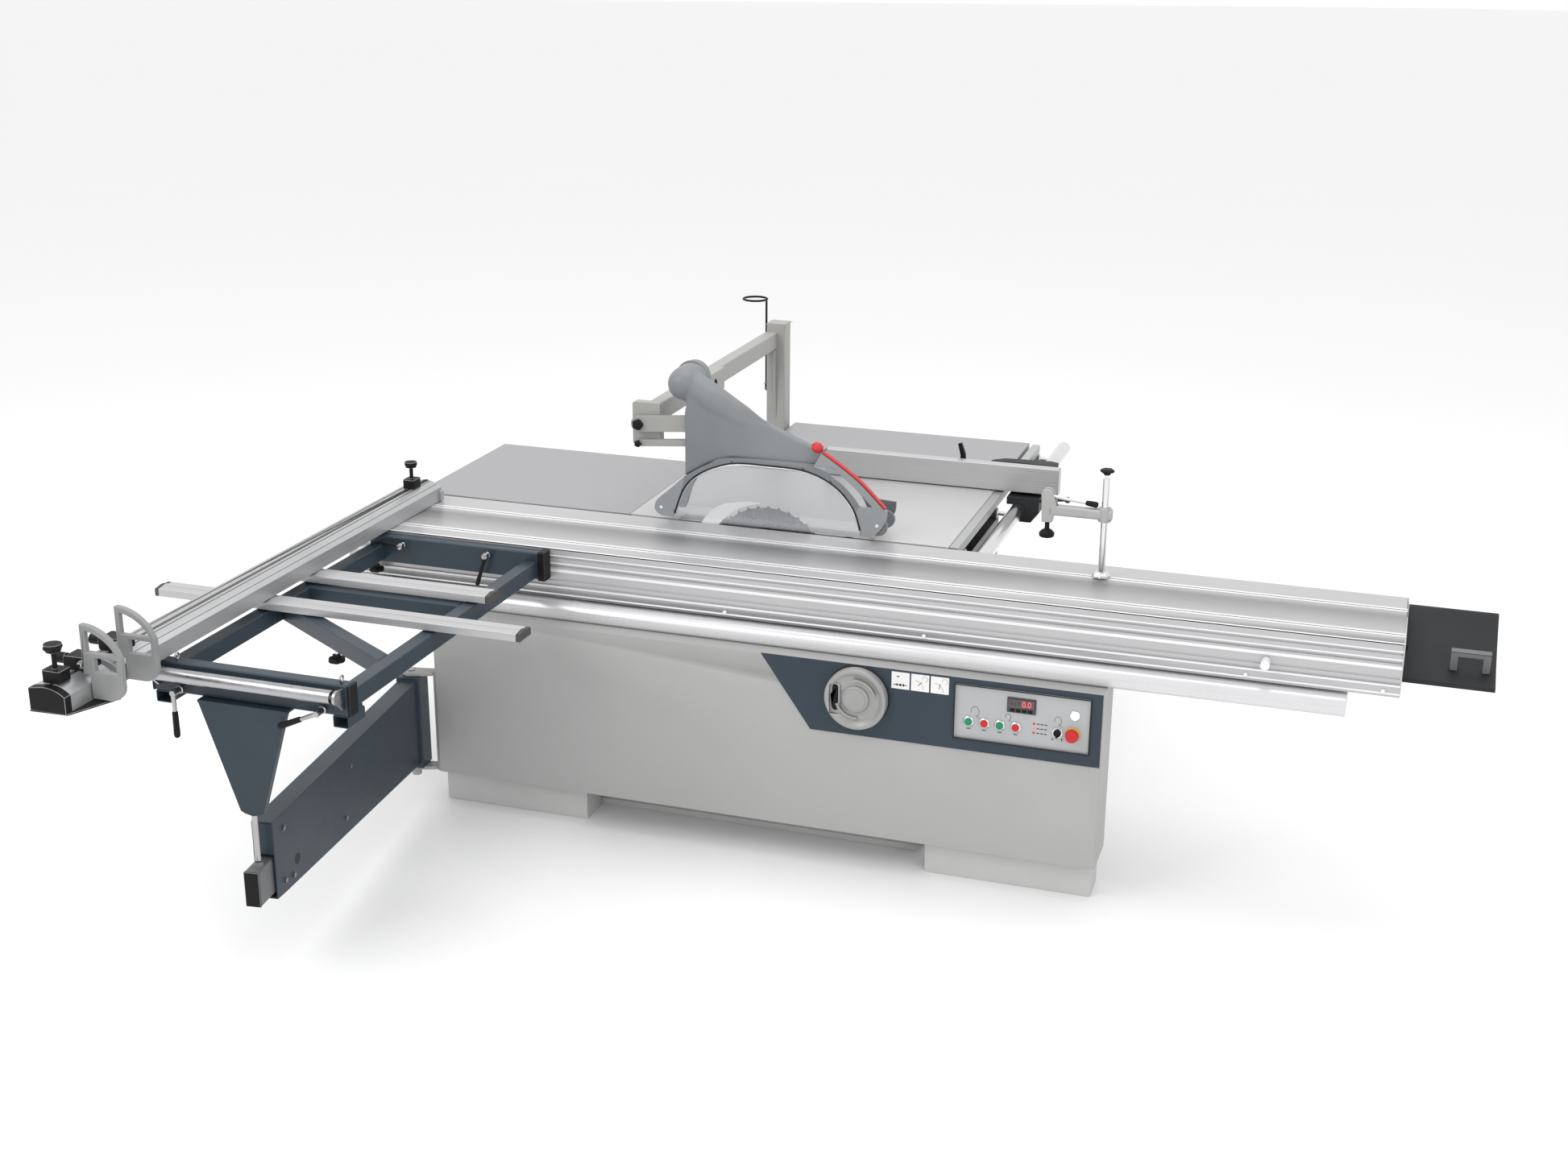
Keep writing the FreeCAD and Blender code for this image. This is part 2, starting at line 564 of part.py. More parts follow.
def flip_stop(y):
    """Cast quarter-arc stop that hangs over the fence face and flips up."""
    x0, x1 = -1242, -1130
    plate = prism("xz", [
        (x0, 950), (x0, 1068), ((x0 + 70, 1046), (x1, 990)), (x1, 915), ((x1 - 14, 886), (x1 - 44, 876)),
        (-1223, 876), (-1223, 938), (x0, 938),
    ], y - 8, y + 8)
    window = prism("xz", [(x0 + 14, 996), (x0 + 14, 1052), ((x0 + 62, 1034), (x1 - 14, 996))], y - 9, y + 9)
    slot = box((-1208, x1 - 14), (y - 9, y + 9), (948, 984))
    plate = plate.cut(window).cut(slot)
    boss = rod((-1250, y - 8, 960), "y", 10, 16)
    return plate.fuse(boss).cut(rod((-1250, y - 9, 960), "y", 4.06, 18))


# ---- hold-down clamp ----------------------------------------------------
CLAMP = (958.0, -113.0)


def clamp_post():
    x, y = CLAMP
    post = rod((x, y, TABLE_Z + 19), "z", 10, 283)
    nut = cone((x, y, TABLE_Z + 1), "z", 26, 20, 18)
    foot = box((x - 18, x + 18), (y - 4.5, y + 4.5), (TABLE_Z - 7, TABLE_Z + 1))
    knob = rod((x, y, TABLE_Z + 302), "z", 5, 16).fuse(cone((x, y, TABLE_Z + 316), "z", 15, 19, 14))
    return group([post, nut, foot, knob])


def clamp_arm():
    x, y = CLAMP
    bar = soften(box((x - 158, x + 22), (y - 15, y + 15), (1048, 1078)), 7, "x")
    hub = rod((x, y, 1042), "z", 19, 42)
    head = prism("xz", [
        (x - 182, 1026), (x - 152, 1026), (x - 148, 1050), (x - 140, 1080), (x - 150, 1112),
        ((x - 168, 1126), (x - 186, 1112)),
    ], y - 14, y + 14)
    arm = bar.fuse(hub).fuse(head)
    arm = arm.cut(rod((x, y, 1040), "z", 10.06, 50))
    arm = arm.cut(rod((x - 167, y, 1020), "z", 7.06, 60))
    arm = arm.cut(box((x - 190, x - 139), (y - 6.5, y + 6.5), (1066, 1130)))
    return arm.fuse(rod((x - 167, y - 14, 1102), "y", 4, 28))


def clamp_lever():
    x, y = CLAMP
    cam = rod((x - 167, y - 6, 1102), "y", 13, 12)
    bar = Part.makeCylinder(5, 110, FreeCAD.Vector(x - 160, y, 1104), FreeCAD.Vector(1, 0, -0.1))
    tip = Part.makeCone(6, 9, 34, FreeCAD.Vector(x - 54, y, 1093.4), FreeCAD.Vector(1, 0, -0.1))
    return cam.fuse(bar).fuse(tip).cut(rod((x - 167, y - 7, 1102), "y", 4.06, 14))


def clamp_pad():
    x, y = CLAMP
    stem = rod((x - 167, y, 1000), "z", 7, 62)
    pad = cone((x - 167, y, 978), "z", 20, 23, 10).fuse(cone((x - 167, y, 988), "z", 23, 9, 14))
    return stem.fuse(pad)


# ---- swing arm ----------------------------------------------------------
def along_arm():
    dx, dy = ROD[0] - HINGE[0], ROD[1] - HINGE[1]
    return math.degrees(math.atan2(dx, -dy)), math.hypot(dx, dy)


def swing_arm():
    angle, reach = along_arm()
    x, y = HINGE
    sleeve = soften(box((x - 38, x + 38), (y - 38, y + 38), (131, 436)), 4, "z")
    sleeve = sleeve.cut(rod((x, y, 130), "z", 10.06, 310))
    outer = prism("yz", [
        (y - 38, 148), (y - 38, 426), (y - reach + 34, ARM_Z[1]), (y - reach + 34, ARM_Z[0]), (y - reach + 90, ARM_Z[0] - 4),
    ], x - ARM_W / 2, x + ARM_W / 2)
    inner = prism("yz", [
        (y - 36, 180), (y - 36, 422), (y - reach + 32, ARM_Z[1] - 4), (y - reach + 32, ARM_Z[0] + 5),
        (y - reach + 90, ARM_Z[0] + 1),
    ], x - ARM_W / 2 + 4, x + ARM_W / 2 - 4)
    arm = outer.cut(inner)
    arm = arm.cut(box((x - 32, x + 32), (y - reach + 33, y - reach + 34.5), (ARM_Z[1] - 90, ARM_Z[1])))
    cheek = box((x - ARM_W / 2 + 4, x + ARM_W / 2 - 4), (y - reach + 34, y - reach + 38), (335, ARM_Z[1] - 4.5))
    bolts = []
    for along, z in ((560, 372), (610, 232), (1000, 388), (1010, 238), (960, 228)):
        bolts.append(rod((x + ARM_W / 2, y - along, z), "x", 8, 5))
    body = sleeve.fuse(arm).fuse(cheek)
    for side in ((-26, -21.4), (21.4, 26)):
        body = body.fuse(box((x + side[0], x + side[1]), (y - reach + 36, y - reach + 110), (230, 314)))
    for bolt in bolts:
        body = body.fuse(bolt)
    return turned(body, (x, y, 0), (0, 0, 1), angle)


def inner_tube():
    angle, reach = along_arm()
    x, y = HINGE
    tube = hollow((x - 21, x + 21), (y - reach - 42, y - 46), (222, 322), 3, "y", 4)
    cap = box((x - 21, x + 21), (y - reach - 48, y - reach - 42), (222, 322))
    boss = cone((x, y - reach, 322), "z", 14, 11, 10)
    return turned(group([tube.fuse(boss), cap]), (x, y, 0), (0, 0, 1), angle)


# ---- saw unit -----------------------------------------------------------
def trunnions():
    made = []
    for x in (-472.0, 234.0):
        plate = prism("yz", [
            (-140, 560), (-140, 760), (-20, 815), (250, 815), (250, 500), (60, 500),
        ], x, x + 14)
        radius = 320.0
        points = []
        for r, sweep in ((radius - 10.5, (-32, 40)), (radius + 10.5, (40, -32))):
            for degrees in (sweep[0], sum(sweep) / 2, sweep[1]):
                a = math.radians(degrees)
                points.append((BLADE_Y + r * math.sin(a), TABLE_Z - r * math.cos(a)))
        outline = [points[0], (points[1], points[2]), points[3], (points[4], points[5])]
        plate = plate.cut(prism("yz", outline, x - 1, x + 15))
        flange = box((x, x + 14), (20, 250), (815, TABLE_Z - TABLE_THICK))
        made.append(plate.fuse(flange))
    return group(made)


def tilt_frame():
    parts = []
    shape = [(96, 480), (96, 800), (260, 800), (260, 262), (190, 262)]
    for x in ((-444, -432), (208, 220)):
        parts.append(prism("yz", shape, *x))
    for z in ((770, 796), (262, 288)):
        parts.append(box((-432, 208), (205, 245), z))
    for x in (-330, 120):
        parts.append(rod((x, 225, 288), "z", 15, 482))
    pin_y = BLADE_Y + 320 * math.sin(math.radians(25))
    pin_z = TABLE_Z - 320 * math.cos(math.radians(25))
    for x in (-474, 220):
        parts.append(rod((x, pin_y, pin_z), "x", 10, 30))
    housing = ring((SCORE_X, 24, SCORE_Z), "y", 19, 10, 70)
    arm = box((SCORE_X + 20, 208), (60, 108), (SCORE_Z - 14, SCORE_Z + 14)).cut(
        rod((SCORE_X, 20, SCORE_Z), "y", 19, 90))
    motor = rod((SCORE_X, 120, 690), "y", 40, 80)
    foot = box((SCORE_X, 208), (125, 160), (670, 710)).cut(motor)
    parts += [housing, arm, motor, foot]
    return group(parts)


def arbor_carrier():
    plate = box((-370, 160), (176, 192), (420, 745))
    plate = plate.cut(box((60, 161), (170, 200), (600, 750)))
    arbor_arm = box((-165, -65), (160, 176), (600, 790))
    body = plate.fuse(arbor_arm)
    for x in (-330, 120):
        for z in (430, 560):
            body = body.fuse(box((x - 26, x + 26), (192, 252), (z, z + 36)))
        body = body.cut(rod((x, 225, 400), "z", 15.06, 330))
    housing = ring((BLADE_X, 24, BLADE_Z), "y", 32, 15.06, 86)
    neck = box((BLADE_X - 24, BLADE_X + 24), (50, 104), (BLADE_Z - 78, BLADE_Z - 20))
    neck = neck.cut(rod((BLADE_X, 20, BLADE_Z), "y", 32, 100))
    strut = box((BLADE_X - 130, BLADE_X - 24), (50, 104), (BLADE_Z - 78, BLADE_Z - 50))
    strut = strut.fuse(box((BLADE_X - 130, BLADE_X - 60), (104, 176), (BLADE_Z - 78, BLADE_Z - 50)))
    body = body.cut(rod((BLADE_X, 150, MOTOR_Z), "y", 50, 60))
    body = body.cut(rod((BLADE_X, 150, BLADE_Z), "y", 18, 60))
    return body.fuse(housing).fuse(neck).fuse(strut)


def main_motor():
    body = rod((BLADE_X, 193, MOTOR_Z), "y", 92, 210)
    fins = []
    for i in range(18):
        fin = box((BLADE_X - 2, BLADE_X + 2), (215, 385), (MOTOR_Z + 90, MOTOR_Z + 100))
        fins.append(turned(fin, (BLADE_X, 0, MOTOR_Z), (0, 1, 0), 20 * i))
    for fin in fins:
        body = body.fuse(fin)
    cowl = rod((BLADE_X, 403, MOTOR_Z), "y", 98, 40)
    terminal = box((BLADE_X - 150, BLADE_X - 86), (240, 330), (MOTOR_Z - 40, MOTOR_Z + 40))
    return body.fuse(cowl).fuse(terminal)


def saw_arbor():
    y = BLADE_Y + BLADE_T / 2
    shaft = rod((BLADE_X, 2, BLADE_Z), "y", 15, 152)
    back = rod((BLADE_X, y, BLADE_Z), "y", 50, 9)
    front = rod((BLADE_X, BLADE_Y - BLADE_T / 2 - 7, BLADE_Z), "y", 50, 7)
    nut = rod((BLADE_X, -9, BLADE_Z), "y", 19, 13)
    pulley = rod((BLADE_X, 118, BLADE_Z), "y", 38, 34)
    for i in range(4):
        pulley = pulley.cut(ring((BLADE_X, 122 + 8 * i, BLADE_Z), "y", 39, 34, 3))
    blade_slot = rod((BLADE_X, BLADE_Y - BLADE_T / 2, BLADE_Z), "y", 60, BLADE_T)
    shaft = shaft.cut(blade_slot).fuse(rod((BLADE_X, BLADE_Y - BLADE_T / 2, BLADE_Z), "y", 14.98, BLADE_T))
    return shaft.fuse(back).fuse(front).fuse(nut).fuse(pulley)


def saw_blade():
    disc = rod((BLADE_X, BLADE_Y - 1.1, BLADE_Z), "y", BLADE_R - 7, 2.2)
    teeth = 36
    for i in range(teeth):
        tooth = prism("xz", [
            (-7, BLADE_R - 10), (7, BLADE_R - 10), (5, BLADE_R - 3), (-1.5, BLADE_R - 0.5), (-3.5, BLADE_R - 1.5),
        ], -BLADE_T / 2, BLADE_T / 2)
        tooth.translate(FreeCAD.Vector(BLADE_X, BLADE_Y, BLADE_Z))
        tooth = turned(tooth, (BLADE_X, BLADE_Y, BLADE_Z), (0, 1, 0), 360.0 / teeth * i)
        disc = disc.fuse(tooth)
    return disc.cut(rod((BLADE_X, 0, BLADE_Z), "y", 15, 30))


def riving_knife():
    r0, r1 = BLADE_R + 5, BLADE_R + 52
    points = []
    for r, angles in ((r1, (-100, -66, -33)), (r0, (-33, -66, -100))):
        for degrees in angles:
            a = math.radians(degrees)
            points.append((BLADE_X + r * math.sin(a), BLADE_Z + r * math.cos(a)))
    outline = [points[0], (points[1], points[2]), points[3], (points[4], points[5])]
    top = TABLE_Z + 85
    knife = prism("xz", outline, BLADE_Y - 1.3, BLADE_Y + 1.3)
    knife = knife.common(box((-600, 100), (0, 30), (600, top)))
    foot = box((-372, -324), (BLADE_Y + 1.3, 60), (700, 724))
    link = box((-372, -324), (60, 176), (700, 724)).cut(box((-372, -324), (176, 200), (600, 740)))
    return knife.fuse(foot.fuse(link))


def motor_pulley():
    pulley = rod((BLADE_X, 118, MOTOR_Z), "y", 50, 34)
    for i in range(4):
        pulley = pulley.cut(ring((BLADE_X, 122 + 8 * i, MOTOR_Z), "y", 51, 46, 3))
    return pulley.fuse(rod((BLADE_X, 152, MOTOR_Z), "y", 14, 40))


def belt_outline(extra):
    """Side outline around both pulleys, a little outside their rims."""
    big, small = 50.6 + extra, 38.6 + extra
    lean = math.asin(12.0 / (BLADE_Z - MOTOR_Z))
    low = (big * math.cos(lean), MOTOR_Z + big * math.sin(lean))
    high = (small * math.cos(lean), BLADE_Z + small * math.sin(lean))
    return [
        ((BLADE_X, MOTOR_Z - big), (BLADE_X + low[0], low[1])), (BLADE_X + high[0], high[1]),
        ((BLADE_X, BLADE_Z + small), (BLADE_X - high[0], high[1])), (BLADE_X - low[0], low[1]),
    ]


def drive_belt():
    return prism("xz", belt_outline(3.0), 120, 150).cut(prism("xz", belt_outline(0.0), 119, 151))


def scoring_blade():
    disc = rod((SCORE_X, BLADE_Y - 1.4, SCORE_Z), "y", SCORE_R, 2.8)
    shaft = rod((SCORE_X, 6, SCORE_Z), "y", 9.95, 106)
    flange = rod((SCORE_X, BLADE_Y + 1.4, SCORE_Z), "y", 22, 8)
    return disc.fuse(shaft).fuse(flange)


# ---- overhead guard -----------------------------------------------------
ARM_TOP = 1235.0
LINK_Y = (24.0, 40.0)
UPPER = ((-556.0, 1168.0), (-300.0, 1190.0))
LOWER = ((-556.0, 1106.0), (-300.0, 1128.0))


def guard_post():
    post = hollow((-532, -460), (1215, 1285), (12, 1262), 4, "z", 6)
    base = box((-582, -410), (1165, 1335), (0, 12))
    for x in (-562, -430):
        for y in (1185, 1315):
            base = base.cut(rod((x, y, -1), "z", 7, 14))
    cap = soften(box((-532, -460), (1215, 1285), (1262, 1267)), 2, "z")
    rib = prism("yz", [(1215, 900), (1215, 1170), (1190, 1170)], -500, -492)
    hose_rod = rod((-548, 1262, 1000), "z", 4, 345)
    clip = box((-552, -532), (1256, 1268), (1010, 1030)).fuse(box((-552, -532), (1256, 1268), (1200, 1220)))
    torus = Part.makeTorus(44, 4, FreeCAD.Vector(-592, 1262, 1345), FreeCAD.Vector(0, 0, 1))
    return group([post.fuse(cap), base, rib, hose_rod.fuse(clip).cut(torus), torus])


def guard_arm():
    beam = hollow((-536, -490), (78, 1215), (ARM_TOP - 62, ARM_TOP), 4, "y", 5)
    head = soften(box((-584, -490), (44, 78), (1096, ARM_TOP)), 8, "y")
    pins = []
    for (x, z), r in ((UPPER[0], 9), (LOWER[0], 6)):
        pins.append(rod((x, LINK_Y[0] - 6, z), "y", r, 44 - LINK_Y[0] + 6))
        pins.append(cone((x, LINK_Y[0] - 16, z), "y", r + 1, r + 6, 10))
    for pin in pins:
        head = head.fuse(pin)
    return group([beam, head])


def link(ends, height, pin_radius):
    (xa, za), (xb, zb) = ends
    length = math.hypot(xb - xa, zb - za)
    bar = box((xa, xa + length), LINK_Y, (za - height / 2, za + height / 2))
    for x in (xa, xa + length):
        bar = bar.fuse(rod((x, LINK_Y[0], za), "y", height / 2, LINK_Y[1] - LINK_Y[0]))
    for x in (xa, xa + length):
        bar = bar.cut(rod((x, LINK_Y[0] - 1, za), "y", pin_radius + 0.06, 40))
    return turned(bar, (xa, 0, za), (0, 1, 0), -math.degrees(math.atan2(zb - za, xb - xa)))


HOOD_Y = (-14.0, 118.0)
SPOUT = (-408.0, 1312.0)   # X and Z of the spout's axis


def hood_outline(inset):
    """Side outline of the hood: tail lobe, back edge, spout, ridge, nose and window edge."""
    i = inset
    return [
        (-466 + i, 884 + i), ((-484 + i, 908), (-474 + i, 936)), (-391 + i, 1016), (-391 + i, 1205),
        (-462 + i, 1262), ((-462 + i, 1352 - i), (-404, 1368 - i)), (-345, 1326 - i), (-120, 1232 - i),
        (20, 1170 - i), ((160, 1090 - i), (262 - i, 975)), ((274 - i, 925), (232 - i, 884 + i)),
    ]


def guard_hood():
    """Blade guard: two side plates with windows, the rim between them, the spout and the link pins."""
    wall = 5
    window = prism("xz", [
        (-420, 880), ((-360, 1020), (-236, 1082)), (7, 1078), ((130, 1020), (188, 880)),
    ], HOOD_Y[0] - 1, HOOD_Y[1] + 1)
    slit = prism("xz", [
        (60, 1076), ((150, 1010), (214, 930)), (240, 952), ((180, 1040), (84, 1110)),
    ], HOOD_Y[0] - 1, HOOD_Y[1] + 1)
    port = rod((SPOUT[0], HOOD_Y[1] - wall - 1, SPOUT[1]), "y", 46, wall + 2)
    near = prism("xz", hood_outline(0), HOOD_Y[0], HOOD_Y[0] + wall).cut(window).cut(slit)
    far = prism("xz", hood_outline(0), HOOD_Y[1] - wall, HOOD_Y[1]).cut(window).cut(slit).cut(port)
    depth = (HOOD_Y[0] + wall, HOOD_Y[1] - wall)
    rim = prism("xz", hood_outline(0), *depth).cut(prism("xz", hood_outline(wall), *depth))
    rim = rim.cut(box((-455, 225), depth, (880, 960))).cut(slit)
    rim = rim.cut(box((-395, -380), (16, 48), (1040, 1222)))
    spout = ring((SPOUT[0], HOOD_Y[1], SPOUT[1]), "y", 50, 46, 36)
    pane = prism("xz", [
        (-419, 890), ((-359, 1019), (-236, 1081)), (7, 1077), ((129, 1019), (186, 890)),
    ], HOOD_Y[0] + 0.5, HOOD_Y[0] + 3.5)
    far_pane = pane.copy()
    far_pane.translate(FreeCAD.Vector(0, HOOD_Y[1] - HOOD_Y[0] - 5, 0))
    pins = []
    for (x, z), r in ((UPPER[1], 9), (LOWER[1], 6)):
        pins.append(rod((x, depth[0], z), "y", r, depth[1] - depth[0]))
    return group([near, far, spout, pane, far_pane] + rim.Solids + pins)


# ---- rip fence ----------------------------------------------------------
def rip_carriage():
    """Cast fence carrier that rides on the round rail and reaches over the table."""
    x = RAIL_X
    saddle = prism("xz", [
        (x - 40, 862), (x - 40, 806), (x - 24, 778), (x + 44, 778), (x + 70, 812), (x + 70, 862),
    ], 640, 770)
    saddle = saddle.cut(rod((x, 600, RAIL_Z), "y", RAIL_R + 0.06, 220))
    saddle = saddle.cut(box((x - 42, x - 12), (630, 780), (770, 836)))
    arm = prism("xy", [(150, 712), (150, 730), (470, 770), (RAIL_X + 110, 770), (RAIL_X + 122, 712)], 873, 893)
    web = prism("xz", [(160, 893), (180, 900), (560, 946), (640, 946), (664, 893)], 712, 724)
    joint = box((x - 40, x + 70), (712, 770), (862, 873))
    body = saddle.fuse(joint).fuse(arm).fuse(web)
    stud = rod((336, 712, 920), "y", 5, 40)
    ball = Part.makeSphere(11, FreeCAD.Vector(718, 655, 866)).fuse(
        Part.makeCylinder(5, 100, FreeCAD.Vector(622, 655, 852), FreeCAD.Vector(96, 0, 14)))
    return body.fuse(stud).fuse(ball)


def rip_profile():
    span = RIP_X
    body = soften(box(span, (RIP_Y[0], RIP_Y[1] - 0), (873, 962)), 3, "x")
    body = body.cut(box((span[0] - 1, span[1] + 1), (RIP_Y[0] + 5, RIP_Y[1] - 14), (879, 956)))
    body = body.cut(box((span[0] - 1, span[1] + 1), (RIP_Y[1] - 9, RIP_Y[1] + 1), (912, 924)))
    cap = box((span[1], span[1] + 2), (RIP_Y[0] + 1, RIP_Y[1] - 1), (874, 961))
    return group([body, cap])


def rip_lever():
    hub = rod((336, 733, 920), "y", 11, 18).cut(rod((336, 700, 920), "y", 5.06, 60))
    arm = prism("xz", [(326, 926), (350, 926), (346, 968), (332, 1006), (320, 1002), (330, 962)], 735, 750)
    return hub.fuse(arm.cut(rod((336, 700, 920), "y", 5.06, 60)))


# ---- controls -----------------------------------------------------------
def handwheel():
    """Dished wheel with a recessed face, a raised hub and its shaft."""
    y = FRONT - 4
    x, z = WHEEL
    rim = rod((x, y - 26, z), "y", WHEEL_R, 24)
    dish = cone((x, y - 27, z), "y", WHEEL_R - 10, WHEEL_R - 26, 12)
    boss = rod((x, y - 24, z), "y", 38, 18)
    shaft = rod((x, y - 4, z), "y", 12.94, 60)
    recess = soften(box((x - 76, x - 46), (y - 28, y + 1), (z - 50, z + 42)), 8, "y")
    wheel = rim.cut(dish).fuse(boss).fuse(shaft).cut(recess)
    hinge = rod((x - 76, y - 12, z - 34), "x", 3, 30)
    return wheel.fuse(hinge)


def handwheel_handle():
    y = FRONT - 4
    x, z = WHEEL
    grip = soften(box((x - 71, x - 51), (y - 22, y - 6), (z - 41, z + 38)), 6, "z")
    return grip.cut(rod((x - 80, y - 12, z - 34), "x", 3.06, 40))


def push_button(x):
    face = CABINET_Y[0] + SHEET
    return rod((x, face - 11, 524), "y", 11.34, 11)


def selector_knob():
    face = CABINET_Y[0] + SHEET
    x = 918
    base = rod((x, face - 12, 524), "y", 11, 5.5)
    grip = box((x - 3, x + 3), (face - 20, face - 12), (513, 535))
    stem = rod((x, face - 7, 524), "y", 8.14, 7)
    return base.fuse(grip).fuse(stem)


def estop_button():
    face = CABINET_Y[0] + SHEET
    x = 961
    cap = cone((x, face - 26, 524), "y", 17, 20, 12)
    stem = rod((x, face - 14, 524), "y", 8.14, 14)
    return cap.fuse(stem)


NODES = {
    "front_cabinet": front_cabinet,
    "rear_cabinet": rear_cabinet,
    "plinths": plinths,
    "front_fascia": front_fascia,
    "control_plate": control_plate,
    "main_table": main_table,
    "outfeed_table": outfeed_table,
    "extension_table": extension_table,
    "rip_rail": rip_rail,
    "sliding_beam": sliding_beam,
    "roller_cage": roller_cage,
    "carriage_table": carriage_table,
    "end_plate": end_plate,
    "lock_pin": lock_pin,
    "outrigger_beam": outrigger_beam,
    "outrigger_tubes": outrigger_tubes,
    "support_plate": support_plate,
    "support_bars": support_bars,
    "outrigger_roller": outrigger_roller,
    "roller_bracket": roller_bracket,
    "ratchet_lever_left": lambda: ratchet_lever(-1152, -86, 66),
    "ratchet_lever_right": lambda: ratchet_lever(-863, -162, 105),
    "frame_lever_left": lambda: frame_lever(-1188, 180),
    "frame_lever_right": lambda: frame_lever(-769, -114),
    "crosscut_fence": crosscut_fence,
    "fence_extension": fence_extension,
    "flip_stop_inner": lambda: flip_stop(STOP_Y[0]),
    "flip_stop_outer": lambda: flip_stop(STOP_Y[1]),
    "clamp_post": clamp_post,
    "clamp_arm": clamp_arm,
    "clamp_lever": clamp_lever,
    "clamp_pad": clamp_pad,
    "swing_arm": swing_arm,
    "inner_tube": inner_tube,
    "trunnions": trunnions,
    "tilt_frame": tilt_frame,
    "arbor_carrier": arbor_carrier,
    "main_motor": main_motor,
    "saw_arbor": saw_arbor,
    "saw_blade": saw_blade,
    "riving_knife": riving_knife,
    "motor_pulley": motor_pulley,
    "drive_belt": drive_belt,
    "scoring_blade": scoring_blade,
    "guard_post": guard_post,
    "guard_arm": guard_arm,
    "upper_link": lambda: link(UPPER, 52, 9),
    "lower_link": lambda: link(LOWER, 22, 6),
    "guard_hood": guard_hood,
    "rip_carriage": rip_carriage,
    "rip_profile": rip_profile,
    "rip_lever": rip_lever,
    "handwheel": handwheel,
    "handwheel_handle": handwheel_handle,
    "saw_start_button": lambda: push_button(661),
    "saw_stop_button": lambda: push_button(707),
    "scoring_start_button": lambda: push_button(752),
    "scoring_stop_button": lambda: push_button(798),
    "selector_knob": selector_knob,
    "estop_button": estop_button,
}

os.makedirs("parts", exist_ok=True)
for name, make in NODES.items():
    shape = make()
    shape.exportStep("parts/" + name + ".step")
    print(name, len(shape.Solids), round(shape.Volume / 1000))
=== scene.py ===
import json
import math

import bmesh
import bpy
from mathutils import Matrix, Vector

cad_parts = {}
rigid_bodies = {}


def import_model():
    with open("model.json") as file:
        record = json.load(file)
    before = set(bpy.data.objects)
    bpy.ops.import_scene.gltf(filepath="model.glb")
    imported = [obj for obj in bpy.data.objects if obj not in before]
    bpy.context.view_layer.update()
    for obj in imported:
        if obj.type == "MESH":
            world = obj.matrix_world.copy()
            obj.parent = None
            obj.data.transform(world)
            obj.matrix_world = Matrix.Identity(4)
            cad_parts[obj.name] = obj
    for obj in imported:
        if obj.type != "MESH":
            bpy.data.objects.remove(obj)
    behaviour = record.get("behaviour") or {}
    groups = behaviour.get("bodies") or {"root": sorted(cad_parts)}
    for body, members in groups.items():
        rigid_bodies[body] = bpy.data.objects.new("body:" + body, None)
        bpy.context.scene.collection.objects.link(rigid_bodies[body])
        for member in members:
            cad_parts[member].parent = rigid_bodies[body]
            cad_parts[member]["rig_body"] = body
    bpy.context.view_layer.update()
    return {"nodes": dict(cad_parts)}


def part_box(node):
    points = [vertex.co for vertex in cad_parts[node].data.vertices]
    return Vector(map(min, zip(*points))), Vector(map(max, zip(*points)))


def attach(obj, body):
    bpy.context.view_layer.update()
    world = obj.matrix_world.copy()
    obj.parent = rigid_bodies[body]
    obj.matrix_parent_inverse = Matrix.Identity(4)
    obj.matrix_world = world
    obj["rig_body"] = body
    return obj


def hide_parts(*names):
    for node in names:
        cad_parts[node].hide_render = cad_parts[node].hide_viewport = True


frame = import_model()
MM = 0.001

# driving dimensions, in millimetres
TABLE_TOP = 870
CABINET_X = (-1045, 1045)
CABINET_FRONT = -491
PANEL_FACE = -490  # front of the silver operating plate
SWITCH_Z = 524  # row of buttons on that plate
LAMP_AT = (965, PANEL_FACE, 582)
ESTOP_X = 961
SELECTOR_X = 918
BUTTONS_X = (661, 707, 752, 798)
DISPLAY_FACE = -498.2
ICON_FACE = -495.25  # front of the three white plates on the fascia
ICON_DEPTH = 0.3
WHEEL_AT = (331, -498, 557)
CLAMP_AT = (958, -113, TABLE_TOP)
CARRIAGE_X = (-1373, 1823)
SIDE_FACE = -397  # side of the sliding table that faces the operator
SLOTS_Y = (-113, -324)
FENCE_SCALE_Y = (-1755, -60)
TOWARD_USER = (0, -1, 0)
DOWN = (0, 0, -1)

# material slot of the record, listed in the panel's rings table
PLASTIC = "black_plastic"


# ---- materials ----------------------------------------------------------
def node(tree, kind, **inputs):
    """Add a shader node; its inputs are named in lower case, with underscores for spaces."""
    made = tree.nodes.new("ShaderNode" + kind)
    for name, value in inputs.items():
        made.inputs[name.replace("_", " ").title()].default_value = value
    return made


